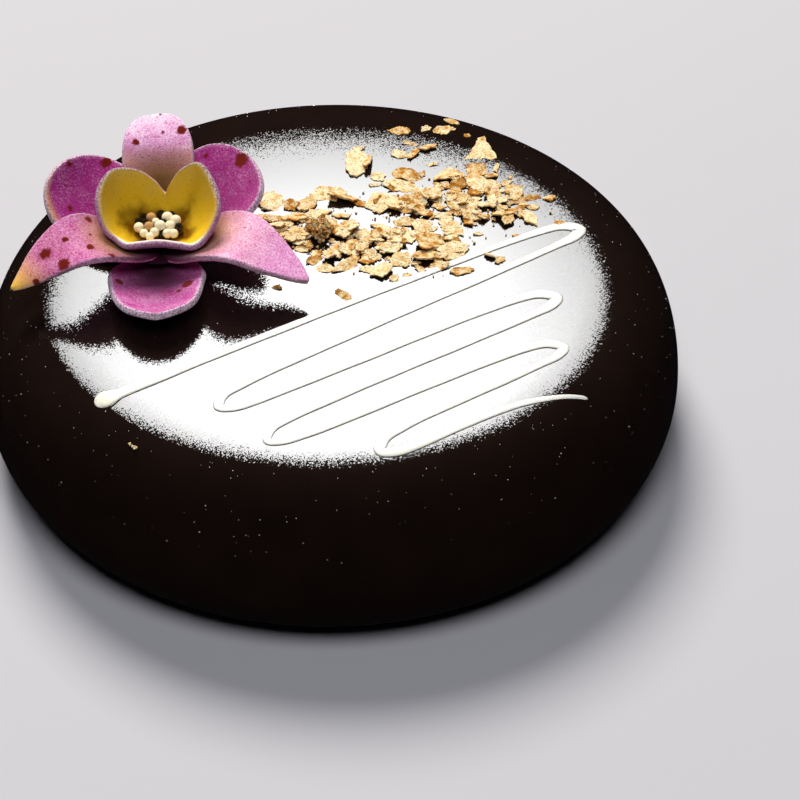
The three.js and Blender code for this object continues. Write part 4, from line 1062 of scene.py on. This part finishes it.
def cup_shell():
    """Shell with a rounded rim, thicker at both sides and at the lip."""
    corners = [(r * math.cos(math.radians(b)), r * math.sin(math.radians(b)), h) for b, r, h in CUP_RIM]
    rim = spline(corners, CUP_SIDES // len(CUP_RIM), closed=True)
    bearing = np.degrees(np.arctan2(rim[:, 1], rim[:, 0])) % 360
    (first, last), (before, after) = CUP_LIP_BEARINGS, CUP_LIP_EASE
    lip = smooth(first - before, first + after, bearing)
    lip = lip * (1 - smooth(last - after, last + before, bearing))
    half = CUP_THICKNESS / 2
    thick = np.maximum(lip, CUP_LEAST_SWELL)
    for middle in CUP_THICK_SIDES:
        off = (bearing - middle + 180) % 360 - 180
        thick = np.maximum(thick, np.exp(-(off / CUP_THICK_REACH) ** 2))
    # Rows: places, share of the height, how far outside, how much of the rim's rounding
    inside, outside, rounded = [], [], []
    for v in np.linspace(0, 1 - half / CUP_WALL_LENGTH, CUP_RINGS + 1)[1:]:
        point = cup_point(rim, v)
        outward = unit(cup_point(rim, min(v + CUP_SLOPE_STEP, 1)) - cup_point(rim, v - CUP_SLOPE_STEP))
        onward = np.roll(point, -1, 0) - np.roll(point, 1, 0)
        normal = unit(np.cross(outward, onward))
        swell = CUP_RIM_SWELL * thick[:, None] * float(smooth(CUP_SWELL_START, 1.0, v))
        inside.append((point + normal * half, v, 0.0, 0.0))
        outside.append((point - normal * (half + swell), v, 1.0, 0.0))
    for beta in np.linspace(math.pi / 2, -math.pi / 2, RIM_STEPS + 1)[1:-1]:
        turn = point + outward * half * math.cos(beta)
        turn = turn + normal * ((half + swell / 2) * math.sin(beta) - swell / 2)
        mauve = float(smooth(*CUP_MAUVE_EDGE, math.sin(beta)))
        rounded.append((turn, 1.0, mauve, math.cos(beta) ** 0.5))
    rows = outside + rounded[::-1] + inside[::-1]
    points, faces = capped([row[0] for row in rows], (0, 0, CUP_FLOOR_LEVEL - half),
                           (0, 0, CUP_FLOOR_LEVEL + half))
    height, out, rounding = [np.repeat([row[k] for row in rows], len(rim)) for k in (1, 2, 3)]
    high = (rim[:, 2] - rim[:, 2].min()) / np.ptp(rim[:, 2])
    dry = (CUP_DRY_LOW + CUP_DRY_MORE * smooth(*CUP_DRY_LEVELS, high)) * (1 - CUP_LIP_MOIST * lip)
    dry, lip = np.tile(dry, len(rows)), np.tile(lip, len(rows))
    front = CUP_FRONT_BLOOM * lip * out * smooth(*CUP_FRONT_SHARES, height)
    marks = {"height": height, "rim": rounding * dry + front, "lip": lip * smooth(*CUP_LIP_SHARES, height)}
    marks = {name: np.append(values, [0, 0]) for name, values in marks.items()}
    return points, faces, {**marks, "outside": np.append(out, [1, 0])}


def pearl_heap():
    shapes = []
    floor = CUP_FLOOR_LEVEL + CUP_THICKNESS / 2 + PEARL_GAP
    angles = np.linspace(-math.pi / 2, math.pi / 2, PEARL_STEPS + 1)
    for x, y, height, radius, tone in PEARLS:
        profile = [(0, -radius)] + [(radius * math.cos(a), radius * math.sin(a)) for a in angles[1:-1]]
        points, faces = turned(profile + [(0, radius)], PEARL_SIDES)
        points = points + np.array([x, y, floor + max(height, radius)])
        shapes.append((points, faces, {"tone": np.full(len(points), float(tone))}))
    return merged(shapes)


# Pieces

glaze = new_material("mirror_glaze_dark_chocolate", mirror_glaze)
ivory = new_material("white_chocolate_drizzle", white_chocolate)
wafer = new_material("baked_wafer_flakes", crepe_wafer, "toast", "edge")
sugar = new_material("caster_sugar_grains", caster_sugar)
lilac = new_material("sugar_paste_lilac", lilac_paste, "pale", "blush", "throat", "rim", "spot")
yellow = new_material("sugar_paste_yellow", yellow_paste, "height", "outside", "rim", "lip")
pearl = new_material("pressed_sugar_pearls", sugar_pearl, "tone")

cake = piece("cake_body", cake_body(), glaze, "glazed_cake")
drizzle = piece("drizzle_bead", drizzle_bead(), ivory, "glazed_cake")
piece("wafer_flakes", wafer_flakes(), wafer, "glazed_cake", flat=True)
piece("wafer_crumbs", wafer_crumbs(), wafer, "glazed_cake", flat=True)
dust = piece("glaze_dust", glaze_dust(), sugar, "glazed_cake", flat=True)
piece("petal_sheet", petal_sheet(), lilac, "petals", FLOWER_AT)
piece("sepal_sheet", sepal_sheet(), lilac, "sepals", FLOWER_AT)
piece("cup_shell", cup_shell(), yellow, "flower_cup", FLOWER_AT)
piece("pearl_heap", pearl_heap(), pearl, "flower_pearls", FLOWER_AT)


# Stage, light and camera

def soft_light(name, azimuth, elevation, distance, size, radiance, colour):
    """Oval soft light that faces the cake's top."""
    lamp = bpy.data.lights.new(name, "AREA")
    lamp.shape = "ELLIPSE"
    lamp.size, lamp.size_y = size
    lamp.energy = radiance * math.pi * size[0] * size[1] * math.pi / 4
    lamp.color = linear(colour)[:3]
    made = bpy.data.objects.new(name, lamp)
    a, e = math.radians(azimuth), math.radians(elevation)
    towards = Vector((math.sin(a) * math.cos(e), math.cos(a) * math.cos(e), math.sin(e)))
    made.location = Vector((0, 0, CAKE_HEIGHT * MM)) + towards * distance
    made.rotation_mode = "QUATERNION"
    made.rotation_quaternion = towards.to_track_quat("Z", "Y")
    bpy.context.scene.collection.objects.link(made)
    return made


def fade_out(lamp, middle, squeeze, near, far, left):
    """Light that fades slowly outwards from about a middle."""
    tree = cleared(lamp)
    place = add(tree, "ShaderNodeNewGeometry").outputs["Parametric"]
    offset = add(tree, "ShaderNodeVectorMath", {0: place, 1: middle}, operation="SUBTRACT")
    oval = add(tree, "ShaderNodeVectorMath", {0: offset, 1: squeeze}, operation="MULTIPLY")
    away = add(tree, "ShaderNodeVectorMath", {0: oval}, operation="LENGTH")
    glow = add(tree, "ShaderNodeMapRange", {0: away, 1: near, 2: far, 3: 1.0, 4: left})
    shine = add(tree, "ShaderNodeEmission", {"Strength": glow})
    add(tree, "ShaderNodeOutputLight", {"Surface": shine})


# The oval light that only the glaze, drizzle and sugar mirror, and lights that show in no reflection
mirror_pieces = bpy.data.collections.new("mirror_pieces")
for made in (cake, drizzle, dust):
    mirror_pieces.objects.link(made)
panel = soft_light("mirrored_light", *MIRRORED_LIGHT)
fade_out(panel.data, *MIRRORED_FADE)
panel.visible_diffuse = False
panel.light_linking.receiver_collection = mirror_pieces
soft_light("main_softbox", *MAIN_SOFTBOX).visible_glossy = False
soft_light("top_fill", *TOP_FILL).visible_glossy = False

world = bpy.data.worlds.new("studio_dark")
bpy.context.scene.world = world
sky = cleared(world)
shade = add(sky, "ShaderNodeBackground", {"Color": "#0c0c0e", "Strength": 1.0})
add(sky, "ShaderNodeOutputWorld", {"Surface": shade})

floor_mesh = bpy.data.meshes.new("studio_floor")
corners = [(x * FLOOR_REACH, y * FLOOR_REACH, 0) for x, y in ((-1, -1), (1, -1), (1, 1), (-1, 1))]
floor_mesh.from_pydata(corners, [], [(0, 1, 2, 3)])
floor_mesh.materials.append(new_material("floor_matt_laminate", studio_floor))
floor = bpy.data.objects.new("studio_floor", floor_mesh)
bpy.context.scene.collection.objects.link(floor)
floor.visible_glossy = False

camera_data = bpy.data.cameras.new("camera")
camera_data.lens = CAMERA_LENS
camera_data.sensor_width = CAMERA_SENSOR
camera = bpy.data.objects.new("camera", camera_data)
elevation = math.radians(CAMERA_ELEVATION)
back = Vector((0, -math.cos(elevation), math.sin(elevation)))
camera.location = (Vector(CAMERA_TARGET) + back * CAMERA_DISTANCE) * MM
tilt = Matrix.Rotation(math.pi / 2 - elevation, 3, "X")
camera.rotation_euler = (tilt @ Matrix.Rotation(math.radians(CAMERA_ROLL), 3, "Z")).to_euler()
bpy.context.scene.collection.objects.link(camera)
bpy.context.scene.camera = camera
bpy.context.scene.view_settings.view_transform = "Standard"
